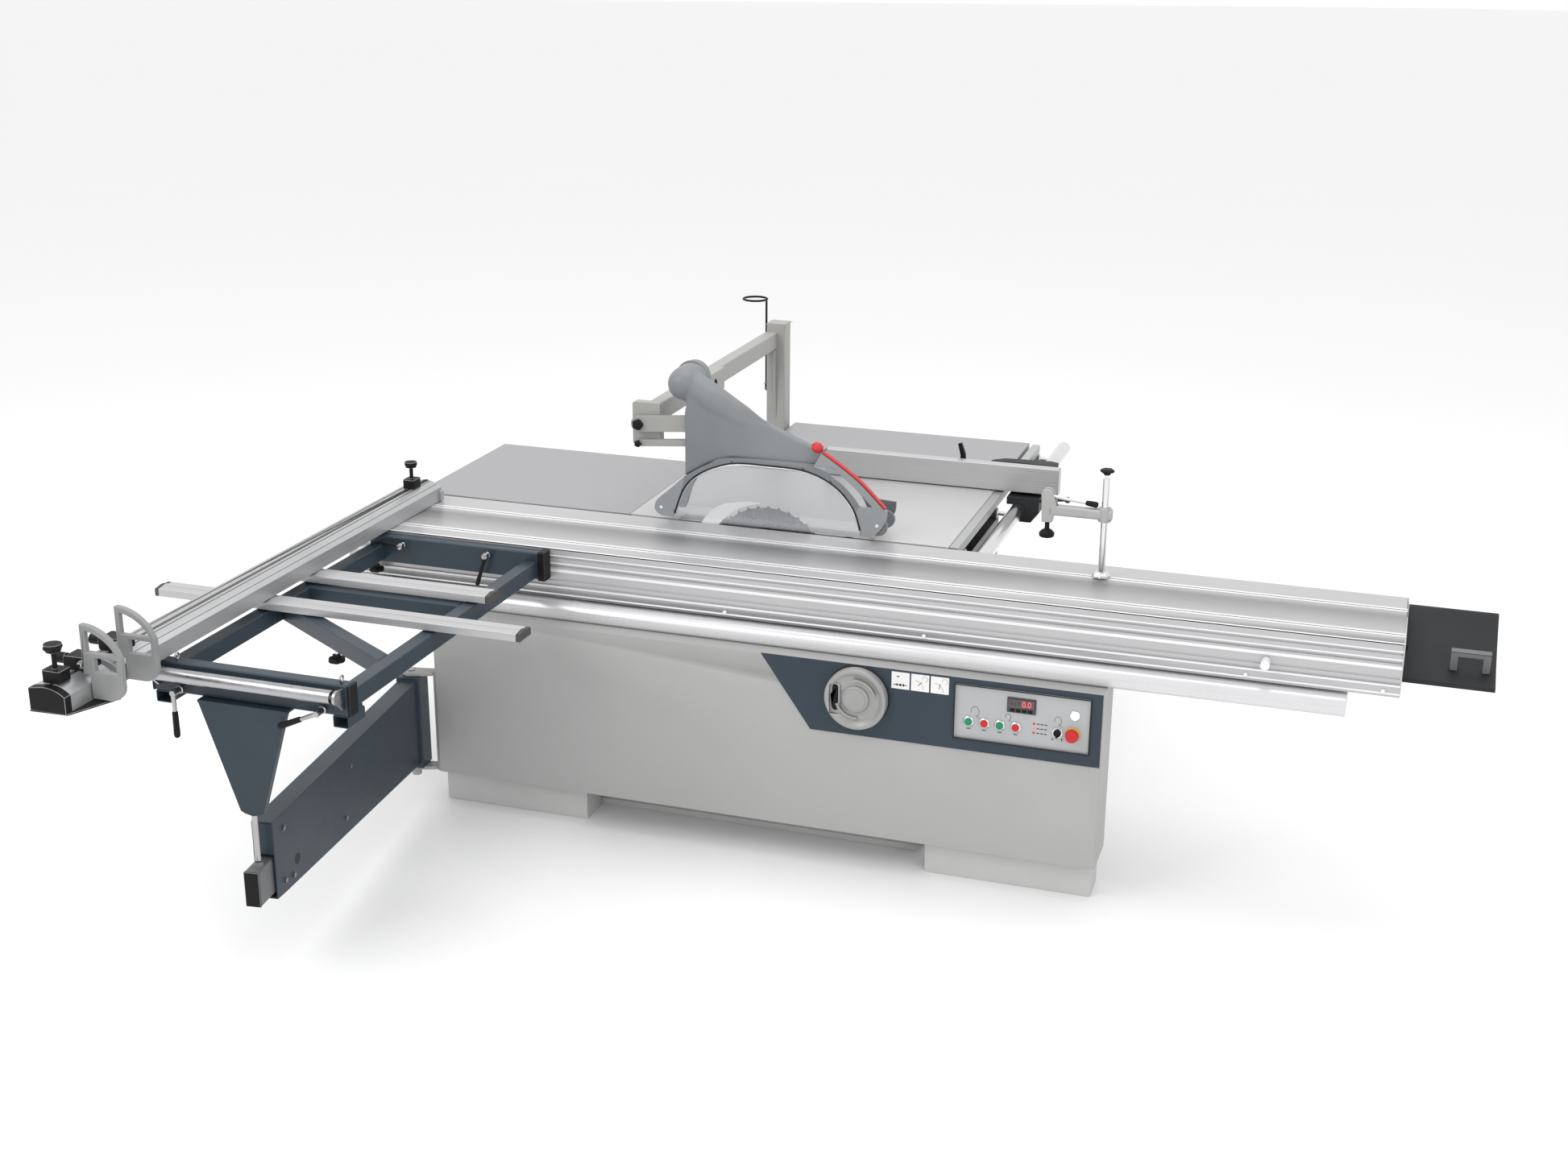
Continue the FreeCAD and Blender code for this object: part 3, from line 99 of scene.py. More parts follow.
def material(name, dark, light, metallic=0.0, rough=0.5, spread=0.08, grain=(900, 900, 900), bump=0.1,
        mottle=3.0, streaks=0.0, glow=None, alpha=None, gleam=0.5):
    """Procedural finish: broad mottling between two shades, fine directional grain, uneven gloss and bump."""
    mat = bpy.data.materials.new(name)
    mat.use_nodes = True
    tree = mat.node_tree
    link = tree.links.new
    shader = tree.nodes["Principled BSDF"]
    shader.inputs["Metallic"].default_value = metallic
    shader.inputs["Specular IOR Level"].default_value = gleam
    coords = node(tree, "TexCoord")
    stretch = node(tree, "Mapping", scale=grain)
    fine = node(tree, "TexNoise", scale=1.0, detail=3.0)
    broad = node(tree, "TexNoise", scale=mottle, detail=5.0, roughness=0.6)
    link(coords.outputs["Object"], stretch.inputs["Vector"])
    link(stretch.outputs["Vector"], fine.inputs["Vector"])
    link(coords.outputs["Object"], broad.inputs["Vector"])
    # colour: the broad pattern, with a share of the fine one where the finish has streaks
    blend = node(tree, "Math")
    blend.operation = "MULTIPLY_ADD"
    blend.inputs[1].default_value = streaks
    share = node(tree, "Math")
    share.operation = "MULTIPLY"
    share.inputs[1].default_value = 1.0 - streaks
    link(fine.outputs["Fac"], blend.inputs[0])
    link(broad.outputs["Fac"], share.inputs[0])
    link(share.outputs[0], blend.inputs[2])
    mix = tree.nodes.new("ShaderNodeMix")
    mix.data_type = "RGBA"
    mix.inputs["A"].default_value = (*dark, 1)
    mix.inputs["B"].default_value = (*light, 1)
    link(blend.outputs[0], mix.inputs["Factor"])
    link(mix.outputs["Result"], shader.inputs["Base Color"])
    # gloss and relief
    gloss = node(tree, "MapRange", from_min=0.3, from_max=0.7, to_min=max(rough - spread, 0.02),
        to_max=min(rough + spread, 1.0))
    link(blend.outputs[0], gloss.inputs["Value"])
    link(gloss.outputs["Result"], shader.inputs["Roughness"])
    relief = node(tree, "Bump", strength=bump, distance=0.0004)
    link(fine.outputs["Fac"], relief.inputs["Height"])
    link(relief.outputs["Normal"], shader.inputs["Normal"])
    if glow:
        shader.inputs["Emission Color"].default_value = (*light, 1)
        shader.inputs["Emission Strength"].default_value = glow
    if alpha is not None:
        shader.inputs["Alpha"].default_value = alpha
    return mat


ALU_X = (3, 420, 420)
ALU_Y = (420, 3, 420)
FINE = (1300, 1300, 1300)
FINEST = (1600, 1600, 1600)
M = {
    "cabinet": material("powder_coat_light", (0.335, 0.335, 0.332), (0.40, 0.40, 0.395), rough=0.42,
        grain=FINE, bump=0.25, mottle=1.6, gleam=0.35),
    "plinth": material("powder_coat_plinth", (0.45, 0.45, 0.445), (0.54, 0.54, 0.535), rough=0.46,
        grain=FINE, bump=0.25, mottle=4, gleam=0.35),
    "gantry": material("powder_coat_gantry", (0.31, 0.307, 0.295), (0.38, 0.377, 0.363), rough=0.42,
        grain=FINE, bump=0.2, mottle=5, gleam=0.35),
    "slate": material("slate_paint", (0.02, 0.032, 0.044), (0.034, 0.05, 0.067), rough=0.34, grain=FINE,
        bump=0.2, mottle=5, gleam=0.3),
    "alu_x": material("anodised_along_x", (0.385, 0.385, 0.392), (0.56, 0.56, 0.568), metallic=0.4,
        rough=0.36, spread=0.12, grain=ALU_X, bump=0.12, mottle=2.2, streaks=0.45),
    "alu_y": material("anodised_along_y", (0.36, 0.365, 0.37), (0.5, 0.505, 0.51), metallic=0.5, rough=0.36,
        spread=0.12, grain=ALU_Y, bump=0.12, mottle=2.2, streaks=0.45),
    "beam": material("bright_extrusion", (0.58, 0.58, 0.59), (0.7, 0.7, 0.71), metallic=0.35, rough=0.30,
        spread=0.1, grain=ALU_X, mottle=2.2, streaks=0.2),
    # painted highlight: this bright pale finish stands in for the shine on the slot edges, side ribs, front
    # edge and small screws
    "rib": material("bright_metal_and_painted_highlight", (0.74, 0.74, 0.75), (0.84, 0.84, 0.85), metallic=0.2, rough=0.22,
        spread=0.06, grain=ALU_X, bump=0.05, streaks=0.2),
    "cast": material("ground_cast_iron", (0.46, 0.46, 0.46), (0.58, 0.58, 0.58), metallic=0.3, rough=0.38,
        spread=0.12, grain=(9, 520, 520), bump=0.15, mottle=2.6, streaks=0.35),
    "insert": material("blued_insert_plate", (0.3, 0.3, 0.305), (0.4, 0.4, 0.405), metallic=0.5, rough=0.42,
        grain=(9, 520, 520), bump=0.12, mottle=5, streaks=0.35),
    "table": material("ground_table", (0.31, 0.31, 0.32), (0.4, 0.4, 0.41), metallic=0.45, rough=0.4,
        spread=0.1, grain=(7, 420, 420), bump=0.12, mottle=1.8, streaks=0.35),
    "steel": material("turned_steel", (0.32, 0.32, 0.33), (0.52, 0.52, 0.53), metallic=1.0, rough=0.28,
        spread=0.1, grain=(700, 700, 700), bump=0.08, mottle=20),
    "chrome": material("chrome_plate", (0.66, 0.66, 0.67), (0.82, 0.82, 0.83), metallic=1.0, rough=0.13,
        spread=0.06, grain=(60, 60, 60), bump=0.02, mottle=9),
    "cast_alu": material("cast_aluminium", (0.34, 0.34, 0.335), (0.50, 0.50, 0.49), metallic=0.5,
        spread=0.1, grain=(500, 500, 500), bump=0.6, mottle=18),
    "white": material("white_casting", (0.2, 0.202, 0.205), (0.29, 0.292, 0.295), rough=0.4,
        grain=(420, 420, 420), bump=0.5, mottle=14),
    "dull": material("dull_tube", (0.12, 0.125, 0.13), (0.19, 0.195, 0.20), metallic=0.3, grain=FINE,
        bump=0.3, mottle=9),
    "charcoal": material("charcoal_texture", (0.014, 0.015, 0.016), (0.028, 0.029, 0.031), spread=0.12,
        bump=0.5, mottle=6, gleam=0.2),
    "black": material("black_moulding", (0.005, 0.005, 0.006), (0.012, 0.012, 0.013), rough=0.45,
        grain=FINE, bump=0.2, mottle=20, gleam=0.15),
    "end_cap": material("grey_brown_cap", (0.05, 0.046, 0.043), (0.085, 0.08, 0.075), rough=0.55,
        grain=FINE, bump=0.3, mottle=20, gleam=0.3),
    "hood": material("hood_plastic", (0.17, 0.182, 0.192), (0.215, 0.228, 0.24), rough=0.40, spread=0.07,
        grain=FINEST, bump=0.35, mottle=7, gleam=0.4),
    "hood_dark": material("hood_dark_plastic", (0.12, 0.127, 0.135), (0.165, 0.172, 0.182), rough=0.42,
        spread=0.07, grain=FINEST, bump=0.35, mottle=7, gleam=0.4),
    "lobe": material("hood_light_plastic", (0.25, 0.263, 0.275), (0.31, 0.323, 0.335), rough=0.42,
        grain=FINEST, bump=0.3, mottle=7, gleam=0.4),
    "gasket": material("rubber_gasket", (0.012, 0.012, 0.012), (0.03, 0.03, 0.03), rough=0.7,
        grain=(800, 800, 800), bump=0.3, mottle=30, gleam=0.25),
    "red": material("red_plastic", (0.40, 0.008, 0.012), (0.58, 0.018, 0.022), rough=0.3, mottle=30,
        gleam=0.4),
    "green": material("green_plastic", (0.004, 0.15, 0.065), (0.010, 0.26, 0.12), rough=0.3, mottle=60,
        gleam=0.4),
    "yellow": material("yellow_plastic", (0.60, 0.30, 0.015), (0.78, 0.44, 0.03), rough=0.38, mottle=60),
    "panel": material("silver_panel", (0.36, 0.37, 0.375), (0.44, 0.45, 0.455), metallic=0.1, rough=0.42,
        grain=FINE, bump=0.12, mottle=6),
    "wheel": material("cast_wheel_paint", (0.27, 0.27, 0.265), (0.36, 0.36, 0.355), metallic=0.2,
        rough=0.36, grain=(700, 700, 700), bump=0.3, mottle=12),
    "label": material("white_label", (0.70, 0.70, 0.69), (0.82, 0.82, 0.81), rough=0.4, bump=0.05,
        mottle=12),
    # also painted shadow: the dark rings in the gaps round the operating plate and the handwheel
    "ink": material("print_and_painted_shadow_ink", (0.01, 0.01, 0.01), (0.03, 0.03, 0.03), bump=0.05, mottle=30, gleam=0.2),
    "screen": material("display_window", (0.07, 0.06, 0.07), (0.12, 0.10, 0.115), rough=0.2,
        grain=(500, 500, 500), bump=0.03, mottle=40, gleam=0.4),
    "digit": material("display_digit", (0.9, 0.03, 0.03), (1.0, 0.08, 0.07), rough=0.4, glow=1.6),
    "lamp": material("lamp_lens", (0.62, 0.78, 1.0), (0.75, 0.88, 1.0), rough=0.2, glow=1.3),
    "knife": material("knife_steel", (0.86, 0.86, 0.87), (0.95, 0.95, 0.96), rough=0.32,
        grain=(300, 300, 20), bump=0.08, mottle=9),
    "motor": material("motor_paint", (0.045, 0.05, 0.055), (0.08, 0.088, 0.095), rough=0.45,
        grain=(700, 700, 700), bump=0.4, mottle=9),
    "pane": material("clear_polycarbonate", (0.44, 0.47, 0.5), (0.52, 0.55, 0.58), rough=0.07, spread=0.04,
        grain=(30, 30, 30), bump=0.03, mottle=4, alpha=0.14),
}


# ---- mesh helpers -------------------------------------------------------
def smooth(mesh, degrees=32.0):
    mesh.shade_smooth()
    mesh.set_sharp_from_angle(angle=math.radians(degrees))


def even(obj):
    """Keep broad flat faces flat beside their rounded edges."""
    normals = obj.modifiers.new("even", "WEIGHTED_NORMAL")
    normals.keep_sharp = True
    normals.weight = 100


def bevel_sharp(bm, width, segments=2, limit=38.0):
    edges = [e for e in bm.edges if len(e.link_faces) == 2 and e.calc_face_angle(0.0) > math.radians(limit)]
    if width > 0 and edges:
        bmesh.ops.bevel(bm, geom=edges, offset=width, segments=segments, profile=0.5, affect="EDGES",
            clamp_overlap=False)


def add(name, bm, mat, body, sharp=32.0):
    mesh = bpy.data.meshes.new(name)
    bm.normal_update()
    bm.to_mesh(mesh)
    bm.free()
    mesh.materials.append(M[mat])
    smooth(mesh, sharp)
    obj = bpy.data.objects.new(name, mesh)
    bpy.context.scene.collection.objects.link(obj)
    even(obj)
    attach(obj, body)
    return obj


def span(node):
    """Lowest and highest corner of a node in millimetres."""
    low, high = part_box(node)
    return Vector(low) / MM, Vector(high) / MM


def islands(bm):
    left = set(bm.faces)
    groups = []
    while left:
        stack = [left.pop()]
        group = [stack[0]]
        while stack:
            for edge in stack.pop().edges:
                for face in edge.link_faces:
                    if face in left:
                        left.remove(face)
                        stack.append(face)
                        group.append(face)
        groups.append(group)
    return groups


def skin(node, mat, bevel=1.0, rules=(), segments=2, name=None, drop=None):
    """A round-edged copy of a CAD node that replaces it; rules give loose pieces their own finish.

    A rule is (test, finish): test gets a loose piece's centre and size in millimetres."""
    source = frame["nodes"][node]
    bm = bmesh.new()
    bm.from_mesh(source.data)
    bmesh.ops.remove_doubles(bm, verts=bm.verts, dist=2e-5)
    bmesh.ops.dissolve_limit(bm, angle_limit=math.radians(1.0), verts=bm.verts, edges=bm.edges)
    names = [mat]
    doomed = []
    for group in islands(bm):
        points = [v.co for f in group for v in f.verts]
        low = Vector([min(p[i] for p in points) for i in range(3)]) / MM
        high = Vector([max(p[i] for p in points) for i in range(3)]) / MM
        centre, size = (low + high) / 2, high - low
        if drop and drop(centre, size):
            doomed += group
            continue
        for test, finish in rules:
            if test(centre, size):
                if finish not in names:
                    names.append(finish)
                for face in group:
                    face.material_index = names.index(finish)
                break
        else:
            for face in group:
                face.material_index = 0
    if doomed:
        bmesh.ops.delete(bm, geom=doomed, context="FACES")
    bevel_sharp(bm, bevel * MM, segments)
    mesh = bpy.data.meshes.new(name or node + "_finish")
    bm.to_mesh(mesh)
    bm.free()
    for finish in names:
        mesh.materials.append(M[finish])
    smooth(mesh)
    obj = bpy.data.objects.new(mesh.name, mesh)
    bpy.context.scene.collection.objects.link(obj)
    even(obj)
    body = source["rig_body"]
    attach(obj, body)
    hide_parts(node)
    return obj


def turned(centre, axis):
    """Matrix that lays a lathe's Z axis along a row axis or a direction, at a centre in millimetres."""
    if axis == "x":
        spin = Matrix.Rotation(math.pi / 2, 4, "Y")
    elif axis == "y":
        spin = Matrix.Rotation(-math.pi / 2, 4, "X")
    elif axis == "z":
        spin = Matrix.Identity(4)
    else:
        spin = Vector(axis).to_track_quat("Z", "Y").to_matrix().to_4x4()
    return Matrix.Translation(Vector(centre) * MM) @ spin


def lathe(name, profile, centre, axis, mat, body, steps=40, lobes=0, depth=0.0):
    """Revolve (radius, height) pairs in millimetres; lobes make a fluted knob."""
    bm = bmesh.new()
    rings = []
    for radius, height in profile:
        ring = []
        for i in range(steps):
            a = 2 * math.pi * i / steps
            r = radius * (1 + depth * math.cos(lobes * a)) if lobes else radius
            ring.append(bm.verts.new((r * MM * math.cos(a), r * MM * math.sin(a), height * MM)))
        rings.append(ring)
    for low, high in zip(rings, rings[1:]):
        for i in range(steps):
            after = (i + 1) % steps
            bm.faces.new((low[i], low[after], high[after], high[i]))
    bm.faces.new(list(reversed(rings[0])))
    bm.faces.new(rings[-1])
    bmesh.ops.remove_doubles(bm, verts=bm.verts, dist=1e-6)
    bm.transform(turned(centre, axis))
    bmesh.ops.recalc_face_normals(bm, faces=bm.faces)
    return add(name, bm, mat, body)


def plate(name, outline, plane, low, high, mat, body, bevel=1.0, segments=2):
    """A flat part cut from an outline in millimetres and given thickness from low to high."""
    def point(u, v, w):
        return Vector({"xz": (u, w, v), "yz": (w, u, v), "xy": (u, v, w)}[plane]) * MM
    bm = bmesh.new()
    base = [bm.verts.new(point(u, v, low)) for u, v in outline]
    face = bm.faces.new(base)
    extruded = bmesh.ops.extrude_face_region(bm, geom=[face])
    moved = [g for g in extruded["geom"] if isinstance(g, bmesh.types.BMVert)]
    bmesh.ops.translate(bm, verts=moved, vec=point(0, 0, high) - point(0, 0, low))
    bmesh.ops.recalc_face_normals(bm, faces=bm.faces)
    bevel_sharp(bm, bevel * MM, segments)
    return add(name, bm, mat, body)


def block(name, low, high, mat, body, bevel=1.0, segments=2):
    outline = [(low[0], low[1]), (high[0], low[1]), (high[0], high[1]), (low[0], high[1])]
    return plate(name, outline, "xy", low[2], high[2], mat, body, bevel, segments)


def pipe(name, points, radius, mat, body, closed=False, smooth_line=True):
    """A round bar along points in millimetres."""
    curve = bpy.data.curves.new(name, "CURVE")
    curve.dimensions = "3D"
    curve.bevel_depth = radius * MM
    curve.bevel_resolution = 3
    curve.use_fill_caps = True
    spline = curve.splines.new("NURBS" if smooth_line else "POLY")
    spline.points.add(len(points) - 1)
    for target, p in zip(spline.points, points):
        target.co = (p[0] * MM, p[1] * MM, p[2] * MM, 1)
    if smooth_line:
        spline.order_u = 3
        spline.use_endpoint_u = not closed
    spline.use_cyclic_u = closed
    maker = bpy.data.objects.new(name + "_line", curve)
    bpy.context.scene.collection.objects.link(maker)
    mesh = bpy.data.meshes.new_from_object(maker.evaluated_get(bpy.context.evaluated_depsgraph_get()))
    bpy.data.objects.remove(maker)
    mesh.name = name
    mesh.materials.clear()
    mesh.materials.append(M[mat])
    smooth(mesh, 50)
    obj = bpy.data.objects.new(name, mesh)
    bpy.context.scene.collection.objects.link(obj)
    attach(obj, body)
    return obj


def join(name, parts):
    """Several finished pieces of one body become one object."""
    bpy.ops.object.select_all(action="DESELECT")
    for part in parts:
        part.select_set(True)
    bpy.context.view_layer.objects.active = parts[0]
    bpy.ops.object.join()
    parts[0].name = name
    return parts[0]


def baked(obj):
    """Apply the modifiers of an object to its mesh."""
    graph = bpy.context.evaluated_depsgraph_get()
    mesh = bpy.data.meshes.new_from_object(obj.evaluated_get(graph))
    obj.modifiers.clear()
    obj.data = mesh
    return obj


def arc(centre, radius, start, end, steps):
    """Points on a circle, angles in degrees from the first axis."""
    out = []
    for i in range(steps + 1):
        a = math.radians(start + (end - start) * i / steps)
        out.append((centre[0] + radius * math.cos(a), centre[1] + radius * math.sin(a)))
    return out


def spline_points(points, steps=6):
    """A smooth line through control points, ends kept."""
    out = []
    for i in range(len(points) - 1):
        p0 = points[max(i - 1, 0)]
        p1, p2 = points[i], points[i + 1]
        p3 = points[min(i + 2, len(points) - 1)]
        for s in range(steps):
            t = s / steps
            out.append(tuple(
                0.5 * (2 * b + (c - a) * t + (2 * a - 5 * b + 4 * c - d) * t * t
                    + (3 * b - a - 3 * c + d) * t ** 3)
                for a, b, c, d in zip(p0, p1, p2, p3)))
    out.append(tuple(points[-1]))
    return out


def knob(name, centre, axis, r, h, mat, body):
    """Moulded star grip with a rounded crown."""
    profile = [(r * 0.35, 0), (r * 0.45, 0), (r * 0.5, h * 0.28), (r * 0.86, h * 0.4), (r * 0.98, h * 0.55),
        (r * 0.97, h * 0.75), (r * 0.8, h * 0.93), (r * 0.4, h), (r * 0.02, h)]
    return lathe(name, profile, centre, axis, mat, body, 48, 6, 0.07)


def screw(name, centre, axis, radius, mat, body, height=3.0):
    profile = [(radius, 0), (radius, height * 0.6), (radius * 0.85, height), (radius * 0.45, height),
        (radius * 0.4, height * 0.45), (radius * 0.02, height * 0.45)]
    return lathe(name, profile, centre, axis, mat, body, 18)


# ---- carried-over CAD pieces with rounded edges -------------------------
def carry_over():
    """Most nodes keep their CAD shape, with rounded edges and their own finishes."""
    skin("front_cabinet", "gantry", 1.5, [(lambda c, s: s[2] > 350, "steel")], name="hinge_lugs",
        drop=lambda c, s: max(s[0], s[1]) > 120)
    skin("rear_cabinet", "cabinet", 1.5,
        [(lambda c, s: c[0] > 500, "steel"), (lambda c, s: max(s) < 40, "black")], name="rear_fittings",
        drop=lambda c, s: s[2] > 530 or c[1] < 590 and c[0] < 500)
    skin("plinths", "plinth", 2.0)
    skin("front_fascia", "slate", 0.8, [(lambda c, s: max(s) < 70, "label")])
    skin("main_table", "cast", 1.2, [(lambda c, s: s[1] < 60 and s[0] > 500, "insert"),
        (lambda c, s: s[0] < 40, "alu_y")])
    skin("outfeed_table", "table", 1.5, [(lambda c, s: s[2] > 500, "cabinet")])
    skin("extension_table", "table", 1.5)
    skin("rip_rail", "chrome", 0.8, [(lambda c, s: max(s) < 200, "steel")])
    skin("sliding_beam", "beam", 1.5, segments=3)
    # its small screws take the bright rib finish, a painted highlight in place of their metal shine
    skin("carriage_table", "alu_x", 0.6, [(lambda c, s: max(s) < 20, "rib"),
        (lambda c, s: s[0] < 20, "alu_y")])
    skin("end_plate", "charcoal", 1.2, [(lambda c, s: s[0] < 180 and s[0] > 60, "dull"),
        (lambda c, s: s[0] < 20, "black")])
    skin("lock_pin", "rib", 2.0, segments=3)
    skin("outrigger_beam", "slate", 1.0, [(lambda c, s: s[0] < 40 and c[0] > -720, "black")])
    skin("outrigger_tubes", "slate", 0.9, [(lambda c, s: s[0] < 10, "black")])
    skin("support_plate", "slate", 1.5, [(lambda c, s: s[0] < 30, "steel")])
    skin("outrigger_roller", "steel", 1.0)
    skin("roller_bracket", "steel", 0.8)
    skin("crosscut_fence", "alu_y", 0.7, [(lambda c, s: s[1] < 20 and s[0] > 80, "black"),
        (lambda c, s: max(s) < 150 and s[2] > 40, "black")])
    skin("fence_extension", "alu_y", 0.7, [(lambda c, s: s[1] < 30 and s[0] > 80, "black"),
        (lambda c, s: s[2] < 8, "charcoal"), (lambda c, s: max(s) < 150 and s[2] > 36, "black")])
    for stop in ("flip_stop_inner", "flip_stop_outer"):
        skin(stop, "white", 2.5, segments=3)
    skin("clamp_arm", "cast_alu", 2.0, segments=3)
    skin("swing_arm", "slate", 1.5)
    skin("inner_tube", "dull", 1.5, [(lambda c, s: min(s[0], s[1]) < 15, "black")])
    skin("guard_post", "gantry", 1.5, [(lambda c, s: max(s) < 420 and s[2] > 300, "black")])
    skin("guard_arm", "gantry", 1.5)
    skin("upper_link", "gantry", 1.5)
    skin("lower_link", "gantry", 1.0)
    skin("rip_carriage", "charcoal", 1.5)
    skin("rip_profile", "alu_x", 0.8, [(lambda c, s: s[0] < 8, "alu_y")])
    skin("rip_lever", "black", 1.5)
    skin("saw_blade", "steel", 0.0)
    skin("saw_arbor", "steel", 0.4)
    skin("scoring_blade", "steel", 0.2)
    for inner in ("trunnions", "tilt_frame", "arbor_carrier", "main_motor"):
        skin(inner, "motor", 1.0)
    skin("motor_pulley", "steel", 0.4)
    skin("drive_belt", "gasket", 0.3)
    skin("roller_cage", "steel", 0.4)
    skin("selector_knob", "black", 0.5)
    for button, finish in (("saw_start_button", "green"), ("saw_stop_button", "red"),
            ("scoring_start_button", "green"), ("scoring_stop_button", "red"), ("estop_button", "red")):
        skin(button, finish, 1.2, segments=3)


# ---- cabinets -----------------------------------------------------------
def cutter(low, high):
    """A plain block to cut with."""
    return block("cutter", low, high, "cabinet", "machine", 0)


def cabinets():
    """Folded sheet-metal shells in place of the plain plates."""
    x0, x1 = CABINET_X
    y0, y1 = CABINET_FRONT, -328
    bend = 5
    outline = [(x0, y1), (x0, y0 + bend)] + arc((x0 + bend, y0 + bend), bend, 180, 270, 5)
    outline += arc((x1 - bend, y0 + bend), bend, 270, 360, 5) + [(x1, y1)]
    high = span("front_cabinet")[1]
    shell = plate("front_shell", outline, "xy", 114, high.z, "cabinet", "machine", 1.5)
    cut(shell, [
        # the operating plate's pocket, the handwheel's shaft and the way to the rear cabinet
        cutter((618, y0 - 9, 470), (1011, y0 + 4, 637)),
        lathe("shaft_cut", [(14, -20), (14, 20)], (WHEEL_AT[0], y0, WHEEL_AT[2]), "y", "cabinet", "machine"),
        cutter((-430, y1 - 60, 180), (220, y1 + 5, 560)),
    ])
    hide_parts("front_cabinet")

    low, high = span("rear_cabinet")
    x0, x1, y1 = -640, 500, 600
    y0, z0, z1 = low.y, low.z, high.z
    sheet = 4
    shell = block("rear_shell", (x0, y0, z0), (x1, y1, z1), "cabinet", "machine", 4, 3)
    cut(shell, [
        # the inside, then room for the beam, the table's wing and the rail
        cutter((x0 + sheet, y0 + sheet, z0 + sheet), (x1 - sheet, y1 - sheet, z1 + 9)),
        cutter((x0 - 9, y0 - 9, 650), (x1 + 9, -150, z1 + 9)),
        cutter((x0 - 9, -151, 780), (x1 + 9, 8, z1 + 9)),
        cutter((x1 - 9, 7, 800), (x1 + 9, y1 - sheet, z1 + 9)),
        # the door, the way to the front cabinet and the dust outlet
        cutter((-350, y1 - 9, 180), (250, y1 + 9, 700)),
        cutter((-430, y0 - 9, 180), (220, y0 + 9, 560)),
        lathe("duct_cut", [(54, -20), (54, 20)], (x1, 380, 240), "x", "cabinet", "machine", 48),
    ])
    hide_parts("rear_cabinet")


# ---- overhead guard -----------------------------------------------------
HOOD_FRONT, HOOD_BACK = -14.0, 118.0
WINDOW = spline_points([(-421, 897), (-393, 977), (-340, 1035), (-232, 1080), (-110, 1083), (8, 1080),
    (91, 1049), (140, 1010), (176, 958), (192, 903)])


def rough_union(name, parts, voxel, mat, thin):
    """Blend overlapping forms into one soft moulded shell that thins towards the ridge."""
    whole = join(name, parts)
    remesh = whole.modifiers.new("blend", "REMESH")
    remesh.mode = "VOXEL"
    remesh.voxel_size = voxel * MM
    baked(whole)
    middle, depth = thin
    for vertex in whole.data.vertices:
        x, y, z = vertex.co / MM
        below = max(0.0, min((ridge_height(x) - z) / depth, 1.0))
        forward = max(0.0, min((x + 300.0) / 180.0, 1.0))
        squeeze = 0.72 * forward * (1.0 - below) ** 1.6
        vertex.co.y = (y + (middle - y) * squeeze) * MM
    soft = whole.modifiers.new("soft", "SMOOTH")
    soft.factor = 0.6
    soft.iterations = 9
    baked(whole)
    whole.data.materials.clear()
    whole.data.materials.append(M[mat])
    whole.data.shade_smooth()
    return whole


def cut(target, cutters):
    """Take the cutters' volume away from a piece, and the cutters from the scene."""
    for tool in cutters:
        boolean = target.modifiers.new("cut", "BOOLEAN")
        boolean.operation = "DIFFERENCE"
        boolean.solver = "EXACT"
        boolean.object = tool
        baked(target)
        bpy.data.objects.remove(tool)


def ridge_height(x):
    """Height of the hood's top line at its far side."""
    return 1148.0 - 0.405 * (x + 11.0)


def hood_body():
    """Moulded shell: a side wall that thins towards its ridge, with the tapering duct blended in."""
    body = "guard_hood"
    front, back, middle = -3.0, 106.0, 62.0
    upper = [(-391, 1010), (-391, 1225), (-380, 1280), (-350, ridge_height(-350))]
    upper += [(x, ridge_height(x)) for x in (-255, -171, -93, -11, 40)]
    upper += [(64, 1141), (34, 1088), (-232, 1094), (-313, 1066), (-386, 1022)]
    parts = [plate("hood_slab", upper, "xz", front, back, "hood", body, 9, 3)]
    start, end = Vector((-404, 50, 1309)), Vector((-85, 24, 1146))
    length = (end - start).length
    taper = [(3, -20), (30, -18), (46, -10), (52, 0), (50, length * 0.3), (41, length * 0.6),
        (28, length * 0.82), (14, length * 0.96), (3, length)]
    parts.append(lathe("hood_duct", taper, start, end - start, "hood", body, 48))
    dome = [(3, -66), (22, -62), (40, -48), (50, -26), (53, 0), (53, 64), (3, 65)]
    parts.append(lathe("hood_elbow", dome, start, "y", "hood", body, 48))
    return rough_union("hood_body", parts, 3.4, "hood", thin=(middle, 150.0))


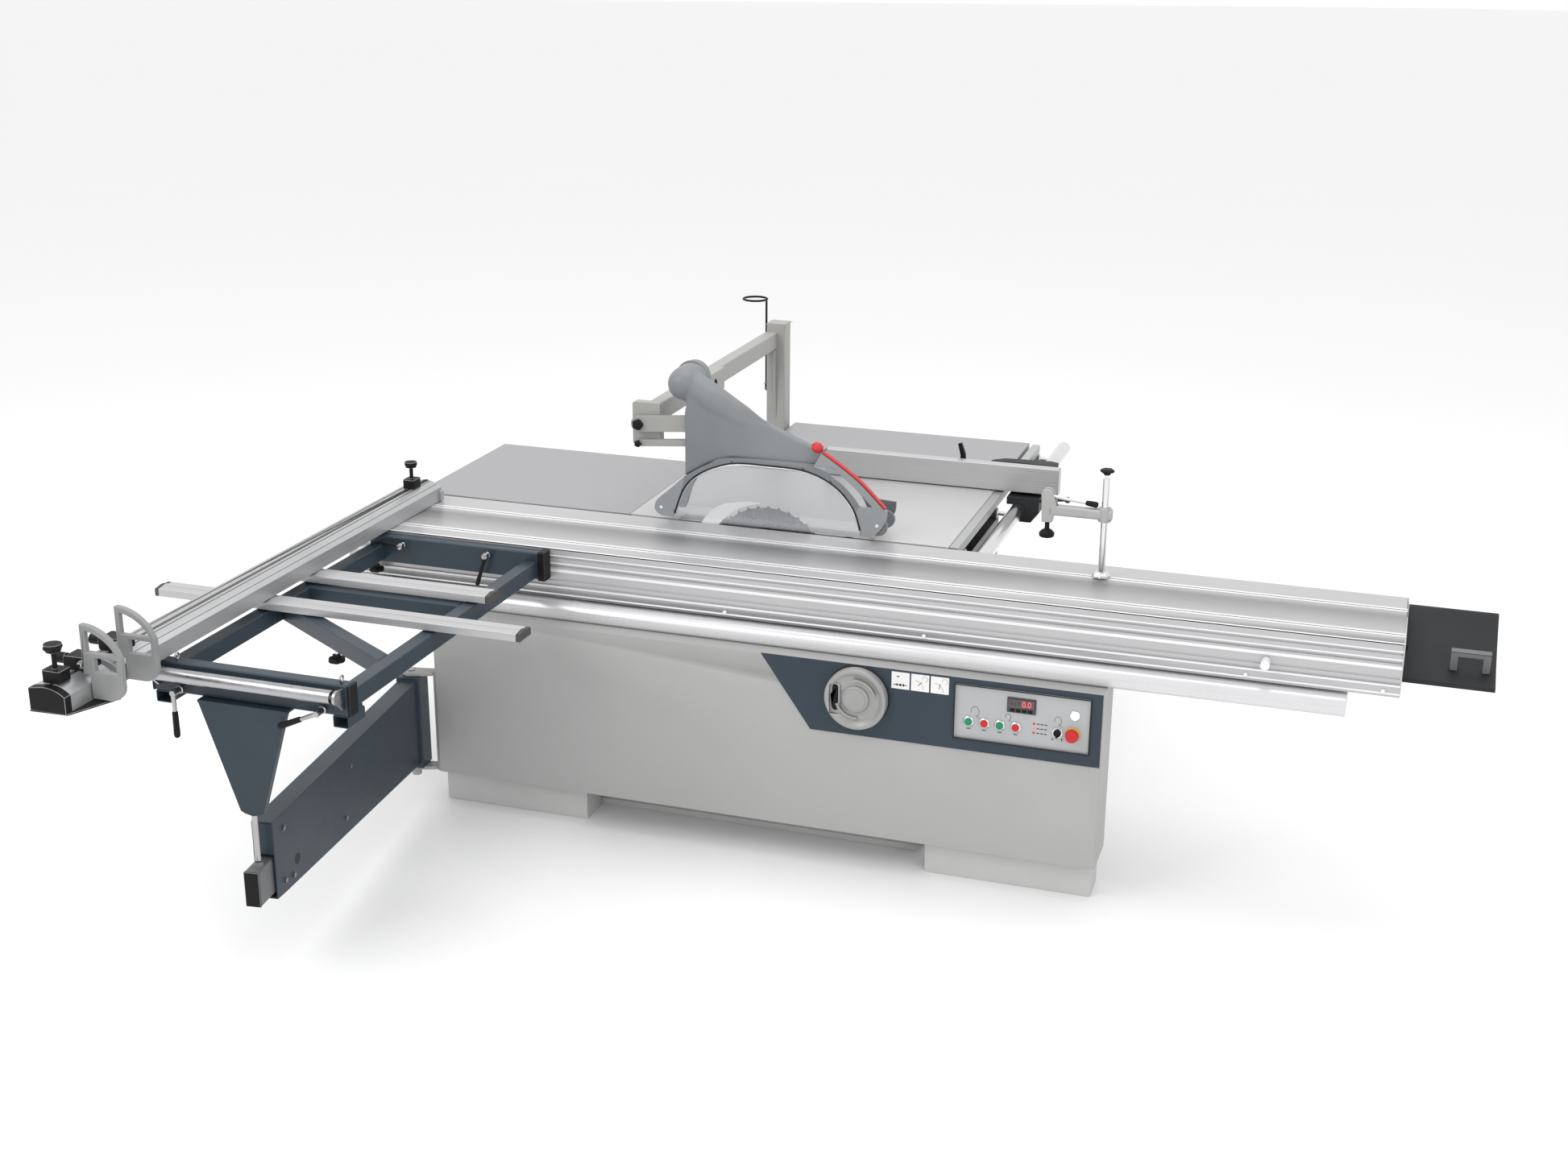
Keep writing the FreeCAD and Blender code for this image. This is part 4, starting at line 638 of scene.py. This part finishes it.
def hood():
    body = "guard_hood"
    shell = hood_body()
    core_outline = [(-383, 1000), (-383, 1150), (-300, 1155), (-170, 1090), (20, 1040), (20, 1000)]
    core = plate("core", core_outline, "xz", 8, 96, "hood", body, 6)
    mouth = lathe("mouth", [(46, -10), (46, 120)], (-408, 50, 1312), "y", "hood", body, 40)
    gap = block("gap", (-400, 16, 1030), (-375, 50, 1224), "hood", body, 0)
    cut(shell, [core, mouth, gap])
    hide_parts("guard_hood")
    # rim around the window, both sides
    outer = spline_points([(-386, 1022), (-313, 1066), (-230, 1095), (33, 1090), (104, 1062), (155, 1022),
        (196, 966), (212, 903)])
    frame_line = [(-438, 886), (-452, 886), (-452, 930)] + outer + [(212, 886), (193, 886)]
    ring_outline = frame_line + list(reversed(WINDOW))
    for side, low, high in (("front", HOOD_FRONT + 0.2, HOOD_FRONT + 7),
            ("back", HOOD_BACK - 19, HOOD_BACK - 12)):
        plate("hood_rim_" + side, ring_outline, "xz", low, high, "hood", body, 0.8)
    crown = [(x, z) for x, z in outer if x < 42]
    plate("hood_arch", crown + [(x, z - 4) for x, z in reversed(crown)], "xz", HOOD_FRONT + 6,
        HOOD_BACK - 18, "hood", body, 0.4)
    # tail lobe
    tail = spline_points([(-386, 1024), (-437, 976), (-481, 936), (-489, 905), (-466, 886), (-427, 884)], 5)
    lobe_outline = tail + [(-423, 897), (-396, 975)]
    for side, low, high in (("front", HOOD_FRONT, HOOD_FRONT + 10),
            ("back", HOOD_BACK - 22, HOOD_BACK - 12)):
        plate("hood_tail_" + side, lobe_outline, "xz", low, high, "lobe", body, 1.5, 3)
    # front bar with its red edge, nose and chip roller
    bar_out = spline_points([(66, 1141), (130, 1100), (190, 1056), (240, 1008), (270, 978)], 5)
    bar_in = spline_points([(233, 978), (176, 1034), (102, 1096)], 5)
    nose = spline_points([(276, 972), (273, 940), (255, 910), (232, 888), (196, 886)], 4)
    bar_outline = bar_out + nose[0:1] + nose + [(196, 905), (178, 962), (186, 978)] + bar_in
    bar_outline += [(43, 1092), (36, 1090)]
    plate("hood_front_bar", bar_outline, "xz", HOOD_FRONT, HOOD_FRONT + 14, "lobe", body, 1.2, 3)
    far_nose = [(276, 972)] + nose + [(196, 905), (178, 962), (186, 978)]
    plate("hood_far_nose", far_nose, "xz", HOOD_BACK - 21, HOOD_BACK - 12, "hood_dark", body, 1.2, 3)
    strip = [(x + 2.5, z + 2.5) for x, z in bar_out] + [(x - 2.5, z - 3) for x, z in reversed(bar_out)]
    plate("hood_red_edge", strip, "xz", HOOD_FRONT, HOOD_FRONT + 18, "red", body, 1.2, 3)
    # knob
    lathe("hood_red_knob", [(4, -3), (16, -3), (19, 2), (18, 8), (12, 13), (0.5, 14)], (42, 14, 1146),
        (0.45, -0.55, 0.75), "red", body, 40, 8, 0.05)
    # discs at the nose
    for side, y in (("front", HOOD_FRONT + 10), ("back", HOOD_BACK - 34)):
        lathe("hood_chip_disc_" + side, [(1, 0), (28, 0), (30, 2), (30, 10), (28, 12), (1, 12)],
            (246, y, 918), "y", "hood", body, 40)
    # gasket and window panes
    trim = [(x, HOOD_FRONT + 0.6, z) for x, z in [(-421, 897)] + WINDOW[3:-3:3] + [(192, 903)]]
    pipe("hood_gasket", trim, 2.6, "gasket", body)
    inner_trim = [(x * 0.985 - 1.7, HOOD_FRONT + 1.2, 890 + (z - 890) * 0.972) for x, _, z in trim]
    pipe("hood_clear_edge", inner_trim, 2.0, "chrome", body)
    pane_outline = WINDOW + [(193, 890), (-424, 890)]
    for side, low, high in (("front", HOOD_FRONT + 1.5, HOOD_FRONT + 4.0),
            ("back", HOOD_BACK - 17, HOOD_BACK - 14.5)):
        plate("hood_window_" + side, pane_outline, "xz", low, high, "pane", body, 0.3)
    screws = [(-421, 905), (-393, 976), (-355, 1020), (-228, 1083), (6, 1083), (95, 1050), (139, 1012),
        (190, 912)]
    for i, (x, z) in enumerate(screws):
        screw(f"hood_screw_{i}", (x, HOOD_FRONT + 0.8, z), "y", 4.0, "ink", body, -0.8)
    for i, (x, z) in enumerate(((-467, 913), (246, 924))):
        lathe(f"hood_pin_{i}", [(1, 0), (5.2, 0), (5.0, 0.2), (0.5, 0.25)], (x, HOOD_FRONT - 0.02, z),
            TOWARD_USER, "label", body, 24)
    # parting lines
    seam = [(66, -2.5, 1141), (55, -3, 1122), (44, -3, 1104), (35, -3, 1091)]
    pipe("hood_seam", seam, 1.2, "gasket", body)
    cuff = [(46.5, 0), (52, 0), (53.5, 3), (53.5, 10), (50.4, 13), (50, 38), (46.5, 38)]
    lathe("hood_spout_ring", cuff, (-408, 115, 1312), "y", "hood", body, 48)


# ---- riving knife -------------------------------------------------------
def knife():
    """Crescent plate that hugs the blade and narrows to a tip above it."""
    body = "rise_carrier"
    x, z, inner = -115, 745, 205.5
    rim = [(-100, 252), (-80, 254), (-63, 256), (-46, 251), (-33, 235), (-16, 215), (-8, 207.5)]
    outer = spline_points(
        [(x + r * math.sin(math.radians(a)), z + r * math.cos(math.radians(a))) for a, r in rim], 5)
    hollow = [(x + a, z + b) for a, b in arc((0, 0), inner, 98, 190, 18)]
    crescent = plate("knife_crescent", outer + hollow, "xz", 10.7, 13.3, "knife", body, 0.4)
    foot = block("knife_foot", (-372, 13.3, 700), (-324, 176, 724), "knife", body, 1)
    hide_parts("riving_knife")
    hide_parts("riving_knife")


# ---- gantry -------------------------------------------------------------
def gantry():
    """Knobs, screws and the hose bracket of the guard's arm."""
    for i, (z, r) in enumerate(((1168, 17), (1106, 11))):
        profile = [(r * 0.7, 0), (r, 2), (r, 9), (r * 0.8, 13), (r * 0.3, 15), (0.5, 15)]
        lathe(f"link_knob_{i}", profile, (-556, 22, z), TOWARD_USER, "black", "machine", 40, 5, 0.06)
    front = span("lower_link")[0].y
    screw("link_screw", (-360, front + 0.2, 1123), "y", 5, "steel", "lower_link", -1.5)
    block("arm_bracket", (-489.9, 460, 1165), (-470, 590, 1240), "gantry", "machine", 3, 3)
    screw("arm_bracket_screw", (-470.2, 500, 1205), "x", 12, "black", "machine", 3)


# ---- controls -----------------------------------------------------------
def wheel():
    """Dished wheel with a recess for its folding grip, raised ribs and a hub."""
    body = "handwheel"
    x, y, z = WHEEL_AT
    profile = [(2, 3), (90, 3), (93.5, 0), (94, -6), (94, -20), (91.5, -25), (86, -26.5), (80, -25),
        (76, -19), (66, -15), (52, -14), (43, -15), (40, -21), (38, -23.5), (34, -24.5), (2, -24.8)]
    disc = lathe("handwheel_dish", [(r, h - 2) for r, h in profile], (x, y, z), "y", "wheel", body, 72)
    recess = block("recess", (x - 78, y - 30, z - 52), (x - 46, y + 4, z + 44), "wheel", body, 6, 3)
    cut(disc, [recess])
    smooth(disc.data, 30)
    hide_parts("handwheel")
    block("handwheel_pocket", (x - 77.5, y - 19, z - 51), (x - 46.5, y - 16, z + 43), "wheel", body, 1)
    for i, sweep in enumerate(((18, 96), (198, 276))):
        points = [(x + a, y - 21.5, z + b) for a, b in arc((0, 0), 59, sweep[0], sweep[1], 8)]
        pipe(f"handwheel_rib_{i}", points, 4.5, "wheel", body)
    lathe("handwheel_hub", [(1, 0), (31, 0), (32, -1.2), (31, -2.4), (1, -2.6)], (x, y - 26.3, z), "y",
        "wheel", body, 48)
    outline = [(x - 70, z - 33)] + arc((x - 61, z + 30), 9, 180, 0, 8) + arc((x - 61, z - 32), 9, 0, -180, 8)
    grip = plate("handwheel_grip", outline, "xz", y - 23.5, y - 9, "black", "handwheel_handle", 4, 3)
    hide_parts("handwheel_handle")
    ring = [(x + a, -494.6, z + b) for a, b in arc((0, 0), 95.5, 0, 345, 23)]
    pipe("handwheel_shadow_gap", ring, 1.9, "ink", "machine", closed=True)


def segment_zero(x, z, prefix, body):
    """The six lit bars of a seven-bar display zero."""
    wide, tall = (2.6, 0.8), (0.8, 2.6)
    bars = {"a": (0, 7, wide), "b": (3.5, 3.5, tall), "c": (3.5, -3.5, tall), "d": (0, -7, wide),
        "e": (-3.5, -3.5, tall), "f": (-3.5, 3.5, tall)}
    for key, (dx, dz, (half_x, half_z)) in bars.items():
        low = (x + dx - half_x, DISPLAY_FACE, z + dz - half_z)
        high = (x + dx + half_x, -497.6, z + dz + half_z)
        block(f"{prefix}_{key}", low, high, "digit", body, 0.1)


def shadow_line(node, body, radius):
    """Painted shadow: a black ring in the narrow gap around a recessed plate."""
    low, high = span(node)
    y = low.y + 1.0
    corners = [(low.x, y, low.z), (high.x, y, low.z), (high.x, y, high.z), (low.x, y, high.z)]
    pipe(node + "_painted_shadow", corners, radius, "ink", body, closed=True, smooth_line=False)


def panel():
    """Operating plate with its switches, lamp and display."""
    body = "machine"
    shadow_line("control_plate", body, 2.4)
    base = block("operating_plate", (619, PANEL_FACE, 471), (1010, -487, 636), "panel", body, 0.8)
    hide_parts("control_plate")
    bezel = [(11.7, 0), (15.5, 0), (15.8, 1.5), (15.2, 3.6), (13.2, 5.2), (11.7, 5.2)]
    for i, x in enumerate(BUTTONS_X):
        lathe(f"button_bezel_{i}", bezel, (x, PANEL_FACE, SWITCH_Z), TOWARD_USER, "chrome", body)
    selector = (SELECTOR_X, PANEL_FACE, SWITCH_Z)
    estop = (ESTOP_X, PANEL_FACE, SWITCH_Z)
    rings = (
        ("selector_base", selector, "chrome", "chrome", [(8.4, 0), (15, 0), (14.6, 3), (13, 3.4), (8.4, 3.4)]),
        ("estop_collar", estop, "yellow", PLASTIC, [(8.4, 0), (21, 0), (21, 4), (19.5, 5.2), (8.4, 5.2)]),
        ("lamp_base", LAMP_AT, "chrome", "chrome", [(1, 0), (14, 0), (14, 2), (12.5, 3), (1, 3)]),
        ("lamp_dome", LAMP_AT, "lamp", "chrome",
            [(1, 2), (12, 2), (11.6, 6), (8.5, 9.5), (3.5, 11), (0.4, 11.2)]),
    )
    for name, place, finish, slot, profile in rings:
        lathe(name, profile, place, TOWARD_USER, finish, body)
    display(body)
    for i, z in enumerate((514, 528, 542)):
        finish = "digit" if i == 1 else "red"
        lathe(f"speed_lamp_{i}", [(0.5, 0), (3.2, 0), (2.8, 1.6), (0.4, 2.2)], (850, PANEL_FACE, z),
            TOWARD_USER, finish, body, 20)
        for j in range(3):
            x = 858 + 11 * j
            mark(f"speed_mark_{i}_{j}", (x, z - 1.6), (x + 8, z + 1.6), body)
    # blade symbols above the switches
    y = PANEL_FACE - 0.2
    for i, (x, z, r) in enumerate(((679, 556, 12), (775, 552, 8), (918, 560, 10))):
        line = [(x + a, y, z + b * 1.25) for a, b in arc((0, 0), r, 200, -80, 14)]
        line.append((x + r * 1.3, y, z - r * 1.7))
        pipe(f"switch_symbol_{i}", line, 0.5, "ink", body)
    for i, x in enumerate(BUTTONS_X):
        mark(f"switch_mark_{i}", (x - 6, 500), (x + 6, 503), body)
    for i, (x, flip) in enumerate(((904, 1), (931, -1))):
        tip = [(x - 2.2, 503 - 4 * flip), (x + 2.2, 503 - 4 * flip), (x, 503 + 5 * flip)]
        plate(f"selector_arrow_{i}", tip, "xz", PANEL_FACE - 0.3, PANEL_FACE + 0.1, "ink", body, 0)
    travel_icon(431, body)
    for i, lean in ((1, 45), (2, 12)):
        tilt_icon(i, 431 + 58 * i, lean, body)


def mark(name, low, high, body):
    """A short dark mark on the operating plate, from (x, z) to (x, z)."""
    front, back = PANEL_FACE - 0.3, PANEL_FACE + 0.1
    block(name, (low[0], front, low[1]), (high[0], back, high[1]), "end_cap", body, 0.1)


def display(body):
    """Framed window with two lit digits, three dim bars and four keys."""
    block("display_frame", (771, -494, 569), (854, PANEL_FACE, 615), "end_cap", body, 1.5)
    block("display_glass", (775, -497.6, 586), (850, -493.5, 611), "screen", body, 1.0)
    for i in range(4):
        x = 781 + 17 * i
        block(f"display_key_{i}", (x, -496.5, 573), (x + 12, -493, 581), "black", body, 0.8)
    for i in range(3):
        x = 781 + 11 * i
        block(f"display_dim_{i}", (x, -497.9, 592), (x + 7, -497.5, 606), "end_cap", body, 0.4)
    segment_zero(820, 599, "digit_tens", body)
    block("digit_point", (827, DISPLAY_FACE, 591.5), (829, -497.6, 593.5), "digit", body, 0.1)
    segment_zero(836, 599, "digit_ones", body)


def travel_icon(x0, body):
    """Two arrows that point at a disc, and a hook above them."""
    y, back = ICON_FACE, ICON_FACE + ICON_DEPTH
    middle = x0 + 27
    for side in (-1, 1):
        near, far = sorted((middle + side * 20, middle + side * 10))
        block(f"icon_arrow_bar_{side + 1}", (near, y, 609), (far, back, 611.5), "ink", body, 0.05)
        tip = [(middle + side * 11, 605), (middle + side * 11, 615.5), (middle + side * 4.5, 610.2)]
        plate(f"icon_arrow_tip_{side + 1}", tip, "xz", y, back, "ink", body, 0)
    lens = arc((middle, 610.2), 4, 0, 345, 12)
    plate("icon_lens", lens, "xz", y, back, "ink", body, 0)
    block("icon_hook", (x0 + 16, y, 634), (x0 + 24, back, 637), "ink", body, 0.05)


def tilt_icon(i, x0, lean, body):
    """A leaning blade under an arc, with a small disc."""
    y = ICON_FACE
    line = [(x0 + 12 + a, y, 603 + b) for a, b in arc((0, 0), 26, 0, 90, 8)]
    pipe(f"icon_arc_{i}", line, 0.35, "end_cap", body)
    line = [(x0 + 42 + a, y, 636 + b) for a, b in arc((0, 0), 8, 200, -80, 10)]
    pipe(f"icon_disc_{i}", line, 0.35, "end_cap", body)
    dx, dz = 8 * math.sin(math.radians(lean)), 8 * math.cos(math.radians(lean))
    blade = [(x0 + 27 - dx, y, 620 - dz), (x0 + 27 + dx, y, 620 + dz)]
    pipe(f"icon_blade_{i}", blade, 0.8, "ink", body, smooth_line=False)


# ---- fittings -----------------------------------------------------------
def lever_handle(name, start, direction, length, ends, metal, body):
    """A clamping lever: bright stem for a share of its length, then a moulded grip."""
    bare = length * metal
    stem = [(6.4, 0), (5.4, bare), (5.0, bare + 4)]
    lathe(name + "_stem", stem, start, direction, "steel", body, 24)
    r0, r1 = ends
    grip = [(r0 * 0.8, bare), (r0, bare + 3), (r0 * 1.02, bare + 10), (r1, length - 12),
        (r1 * 0.9, length - 5), (r1 * 0.5, length - 1), (0.5, length)]
    lathe(name + "_grip", grip, start, direction, "black", body, 28)


def leaning(degrees):
    """Direction in the XZ plane, leaning from upright towards +X."""
    return Vector((math.sin(math.radians(degrees)), 0, math.cos(math.radians(degrees))))


def frame_levers():
    """Clamping levers of the outrigger: two ratchets on its inner beam, two on the frame."""
    hub = [(8, 0), (8, 10), (6.2, 11), (6.2, 20), (9, 21), (10, 26), (9, 34), (4, 36), (0.5, 36)]
    stem = [(6.5, 14), (5.2, 30), (5.6, 60), (7.2, 92), (6.6, 100), (3, 103), (0.4, 103.5)]
    for side, x, lean, reach in (("left", -1152, -86, 0.62), ("right", -863, -162, 1.0)):
        body = "ratchet_lever_" + side
        lathe(body + "_hub", hub, (x, -440.5, 846), TOWARD_USER, "steel", body, 30)
        profile = [(7, -8), (9, -4), (9, 6)] + [(r, h * reach) for r, h in stem]
        arm = lathe(body + "_arm", profile, (x, -466, 846), leaning(lean), "black", body, 30)
        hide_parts(body)
    boss = [(11, 0), (11, 8), (8.5, 10), (8.5, 30), (9.5, 34), (8, 40), (0.5, 40.5)]
    for side, x, lean in (("left", -1188, 180), ("right", -769, -114)):
        body = "frame_lever_" + side
        hub = lathe(body + "_hub", boss, (x, -1563.5, 792), TOWARD_USER, "steel", body, 30)
        lever_handle(body, (x, -1598, 792), leaning(lean), 125, (7.5, 8.5), 0.40, body)
        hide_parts(body)


def clamp():
    """Hold-down clamp: column, star nut, knob, foot and lever."""
    x, y, z = CLAMP_AT
    column = [(9, 17), (10, 18), (10, 300), (9, 302), (5, 302.5), (5, 316), (0.5, 316.5)]
    post = lathe("clamp_column", column, CLAMP_AT, "z", "chrome", "carriage")
    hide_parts("clamp_post")
    nut = [(22, 1), (25, 2.5), (26, 8), (23, 13), (14, 17), (10.1, 18)]
    lathe("clamp_star_nut", nut, CLAMP_AT, "z", "chrome", "carriage", 56, 8, 0.07)
    knob("clamp_top_knob", (x, y, z + 313), "z", 20, 18, "black", "carriage")
    x -= 167
    foot = [(16, -22), (21, -20), (23, -14), (22, -8), (14, 0), (8, 3), (7, 4), (7, 62), (0.5, 62.5)]
    pad = lathe("clamp_foot", foot, (x, y, 1000), "z", "black", "clamp_pad")
    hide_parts("clamp_pad")
    body = "clamp_lever"
    droop = (1, 0, -0.1)
    bar = [(4.2, 0), (5, 2), (5, 104), (3, 106)]
    lever = lathe("clamp_lever_bar", bar, (x + 10, y, 1103), droop, "chrome", body, 28)
    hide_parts("clamp_lever")
    cam = [(4.1, -6), (12, -6), (13, -5), (13, 5), (12, 6), (4.1, 6)]
    lathe("clamp_lever_cam", cam, (x, y, 1102), "y", "steel", body)
    grip = [(5.4, 0), (7, 2), (8.2, 12), (9, 30), (8, 35), (4, 37), (0.4, 37.4)]
    lathe("clamp_lever_grip", grip, (x + 110, y, 1092.8), droop, "black", body, 28)


def rests():
    """Support bars: extrusions with a lip, dark end caps, feet and star knobs below."""
    cap = 12
    for i, (x0, x1, y) in enumerate(((-1330, -660, -815), (-1590, -445, -1062))):
        outline = [(y - 35, 844), (y - 35, 862), (y - 33, 866), (y - 12, 868.5), (y - 10, 869.8),
            (y + 6, 869.8), (y + 8, 866.5), (y + 30, 866.5), (y + 35, 862), (y + 35, 844)]
        plate(f"rest_bar_{i}", outline, "yz", x0 + cap, x1 - cap, "alu_x", "carriage", 0.8)
        for side, low, high in (("low", x0, x0 + cap), ("high", x1 - cap, x1)):
            plate(f"rest_cap_{i}_{side}", outline, "yz", low, high, "end_cap", "carriage", 0.5)
        for j, tube in enumerate((-1244.5, -722.5)):
            block(f"rest_foot_{i}_{j}", (tube - 16, y - 25, 839), (tube + 16, y + 25, 844), "black",
                "carriage", 0.8)
    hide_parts("support_bars")
    for i, (x, y, top) in enumerate(((-1244, -815, 790), (-975, -1155, 838))):
        lathe(f"rest_stem_{i}", [(5, 0), (5, top - 762)], (x, y, 762), "z", "chrome", "carriage", 24)
        knob(f"rest_knob_{i}", (x, y, 764), DOWN, 24, 24, "black", "carriage")
    knob("beam_knob", (-1262, -428, 764), DOWN, 24, 24, "black", "carriage")


def arm_fittings():
    """Bolts and a dark port on the side of the telescopic arm, which runs askew."""
    angle = math.atan2(133, 1085)
    root = Matrix.Translation(Vector((-1125, -490, 0)) * MM) @ Matrix.Rotation(angle, 4, "Z")
    profile = [(9, 0), (9, 2), (6.5, 2.2), (6.5, 4.6), (5.5, 5.2), (3, 5.2), (2.8, 3), (0.4, 3)]
    for i, (reach, z) in enumerate(((560, 372), (610, 232), (1000, 388), (1010, 238), (960, 228))):
        bolt = lathe(f"arm_bolt_{i}", profile, (0, 0, 0), "x", "steel", "swing_arm", 24)
        bolt.data.transform(root @ Matrix.Translation(Vector((30, -reach, z)) * MM))
    rim = [(0.5, 0), (16, 0), (16, 0.4), (0.5, 0.5)]
    port = lathe("arm_port", rim, (0, 0, 0), "x", "ink", "swing_arm", 32)
    port.data.transform(root @ Matrix.Translation(Vector((30, -930, 262)) * MM))


def fence_fittings():
    """Pins of the flip stops and the star knobs of the fence clamps."""
    pin = [(0.5, 0), (7, 0), (7, 2), (5, 4), (0.5, 4)]
    for node, y, body in (("flip_stop_inner", -1720, "crosscut_fence"),
            ("flip_stop_outer", -1856, "fence_extension")):
        lathe(node + "_pin", pin, (-1250, y - 8.2, 960), TOWARD_USER, "steel", body, 24)
    knob("fence_knob_near", (-1280, -1916, 1008), "z", 23, 24, "black", "fence_extension")
    knob("fence_knob_far", (-1278, -150, 1002), "z", 21, 22, "black", "crosscut_fence")


def rulers():
    """Two graduated scales along the crosscut fence."""
    y0, y1 = FENCE_SCALE_Y
    step, width = 10, 1.3
    scales = (("fence_scale_top", -1300, 935.9, 0.14), ("fence_scale_lower", -1243, 926.2, -0.36))
    for name, x, z, slope in scales:
        bm = bmesh.new()
        for i in range((y1 - y0) // step):
            y = y0 + step * i
            length = 9 if i % 5 == 0 else 5
            corners = [(x, y), (x + length, y), (x + length, y + width), (x, y + width)]
            bm.faces.new([bm.verts.new(Vector((u, v, z + slope * (u - x))) * MM) for u, v in corners])
        bmesh.ops.solidify(bm, geom=bm.faces[:], thickness=0.0004)
        add(name, bm, "end_cap", "crosscut_fence")


def fence_grooves():
    """Painted shade: dark bars along the fine grooves on top of the crosscut fence."""
    low, high = span("crosscut_fence")
    for i, (x, z) in enumerate(((-1308, 932.8), (-1262, 933.8), (-1240, 925.0))):
        path = [(x, low.y + 6, z), (x, high.y - 6, z)]
        pipe(f"fence_groove_{i}", path, 1.3, "end_cap", "crosscut_fence", smooth_line=False)


def rip_casting():
    """Tapering top flange and rib of the fence carrier, behind the board."""
    body = "rip_carriage"
    flange = [(438, 727), (442, 740), (480, 772), (632, 786), (662, 772), (668, 727)]
    plate("rip_flange", flange, "xy", 948, 958, "charcoal", body, 2.5, 3)
    block("rip_rib", (600, 727, 893), (640, 764, 949), "charcoal", body, 2)


def slots():
    """Painted highlights: thin bright strips along the lips of the sliding table's T-slots, its ledges and its
    side grooves.
    """
    x0, x1 = CARRIAGE_X
    for i, y in enumerate(SLOTS_Y):
        for side in (-1, 1):
            edge = y + side * 8
            block(f"slot_lip_{i}_{side + 1}", (x0, edge - 5, TABLE_TOP - 0.8),
                (x1, edge + 5, TABLE_TOP + 0.35), "rib", "carriage", 0.3)
    for i, (z, depth) in enumerate(((846, 4), (822, 4), (796, 9), (745, 5), (722, 5))):
        block(f"side_rib_painted_highlight_{i}", (x0, SIDE_FACE - 0.6, z), (x1, SIDE_FACE + 0.5, z + depth), "rib",
            "carriage", 0.3)
    block("front_edge_painted_highlight", (x0, SIDE_FACE, 866), (x1, SIDE_FACE + 8, TABLE_TOP + 0.2), "rib", "carriage",
        0.6)


# ---- stage --------------------------------------------------------------
def stage():
    """White surroundings, a pale floor, three soft lights and the photo's camera."""
    scene = bpy.context.scene
    world = bpy.data.worlds.new("soft_white")
    world.use_nodes = True
    sky = world.node_tree.nodes["Background"]
    sky.inputs["Color"].default_value = (1.0, 1.0, 1.0, 1)
    sky.inputs["Strength"].default_value = 1.0
    scene.world = world
    bm = bmesh.new()
    reach = 60  # metres to each side
    corners = [(-reach, -reach), (reach, -reach), (reach, reach), (-reach, reach)]
    bm.faces.new([bm.verts.new((x, y, -0.0005)) for x, y in corners])
    mesh = bpy.data.meshes.new("floor")
    bm.to_mesh(mesh)
    bm.free()
    mesh.materials.append(material("pale_floor", (0.88, 0.88, 0.88), (0.92, 0.92, 0.92), rough=0.45,
        grain=(4, 4, 4), bump=0.0, mottle=0.6))
    floor = bpy.data.objects.new("floor", mesh)
    scene.collection.objects.link(floor)
    lights = (
        ("key", (-3.5, -4.5, 5.5), (0, -0.4, 0.8), 3.5, 130),
        ("fill", (4.5, -5.5, 3.0), (0.4, -0.4, 0.6), 3.0, 60),
        ("top", (0.3, 0.6, 5.5), (0.2, 0, 0.8), 4.0, 90),
    )
    for name, place, aim, size, power in lights:
        light = bpy.data.lights.new(name, "AREA")
        light.shape = "SQUARE"
        light.size = size
        light.energy = power
        lamp = bpy.data.objects.new(name, light)
        lamp.location = place
        lamp.rotation_euler = (Vector(aim) - Vector(place)).to_track_quat("-Z", "Y").to_euler()
        scene.collection.objects.link(lamp)
    camera = bpy.data.cameras.new("camera")
    camera.sensor_width = 36.0
    camera.lens = 44.84
    camera.shift_x = -0.0104
    camera.shift_y = -0.0201
    camera.clip_end = 60.0
    eye = bpy.data.objects.new("camera", camera)
    heading, dip, roll = 17.674, 18.349, 0.535  # degrees
    eye.matrix_world = Matrix.Translation((1.7635, -5.5493, 2.7250))
    for angle, axis in ((heading, "Z"), (90 - dip, "X"), (roll, "Z")):
        eye.matrix_world = eye.matrix_world @ Matrix.Rotation(math.radians(angle), 4, axis)
    scene.collection.objects.link(eye)
    scene.camera = eye
    scene.view_settings.view_transform = "Standard"


carry_over()
cabinets()
hood()
knife()
gantry()
wheel()
panel()
frame_levers()
clamp()
rests()
arm_fittings()
fence_fittings()
rulers()
slots()
fence_grooves()
rip_casting()
stage()
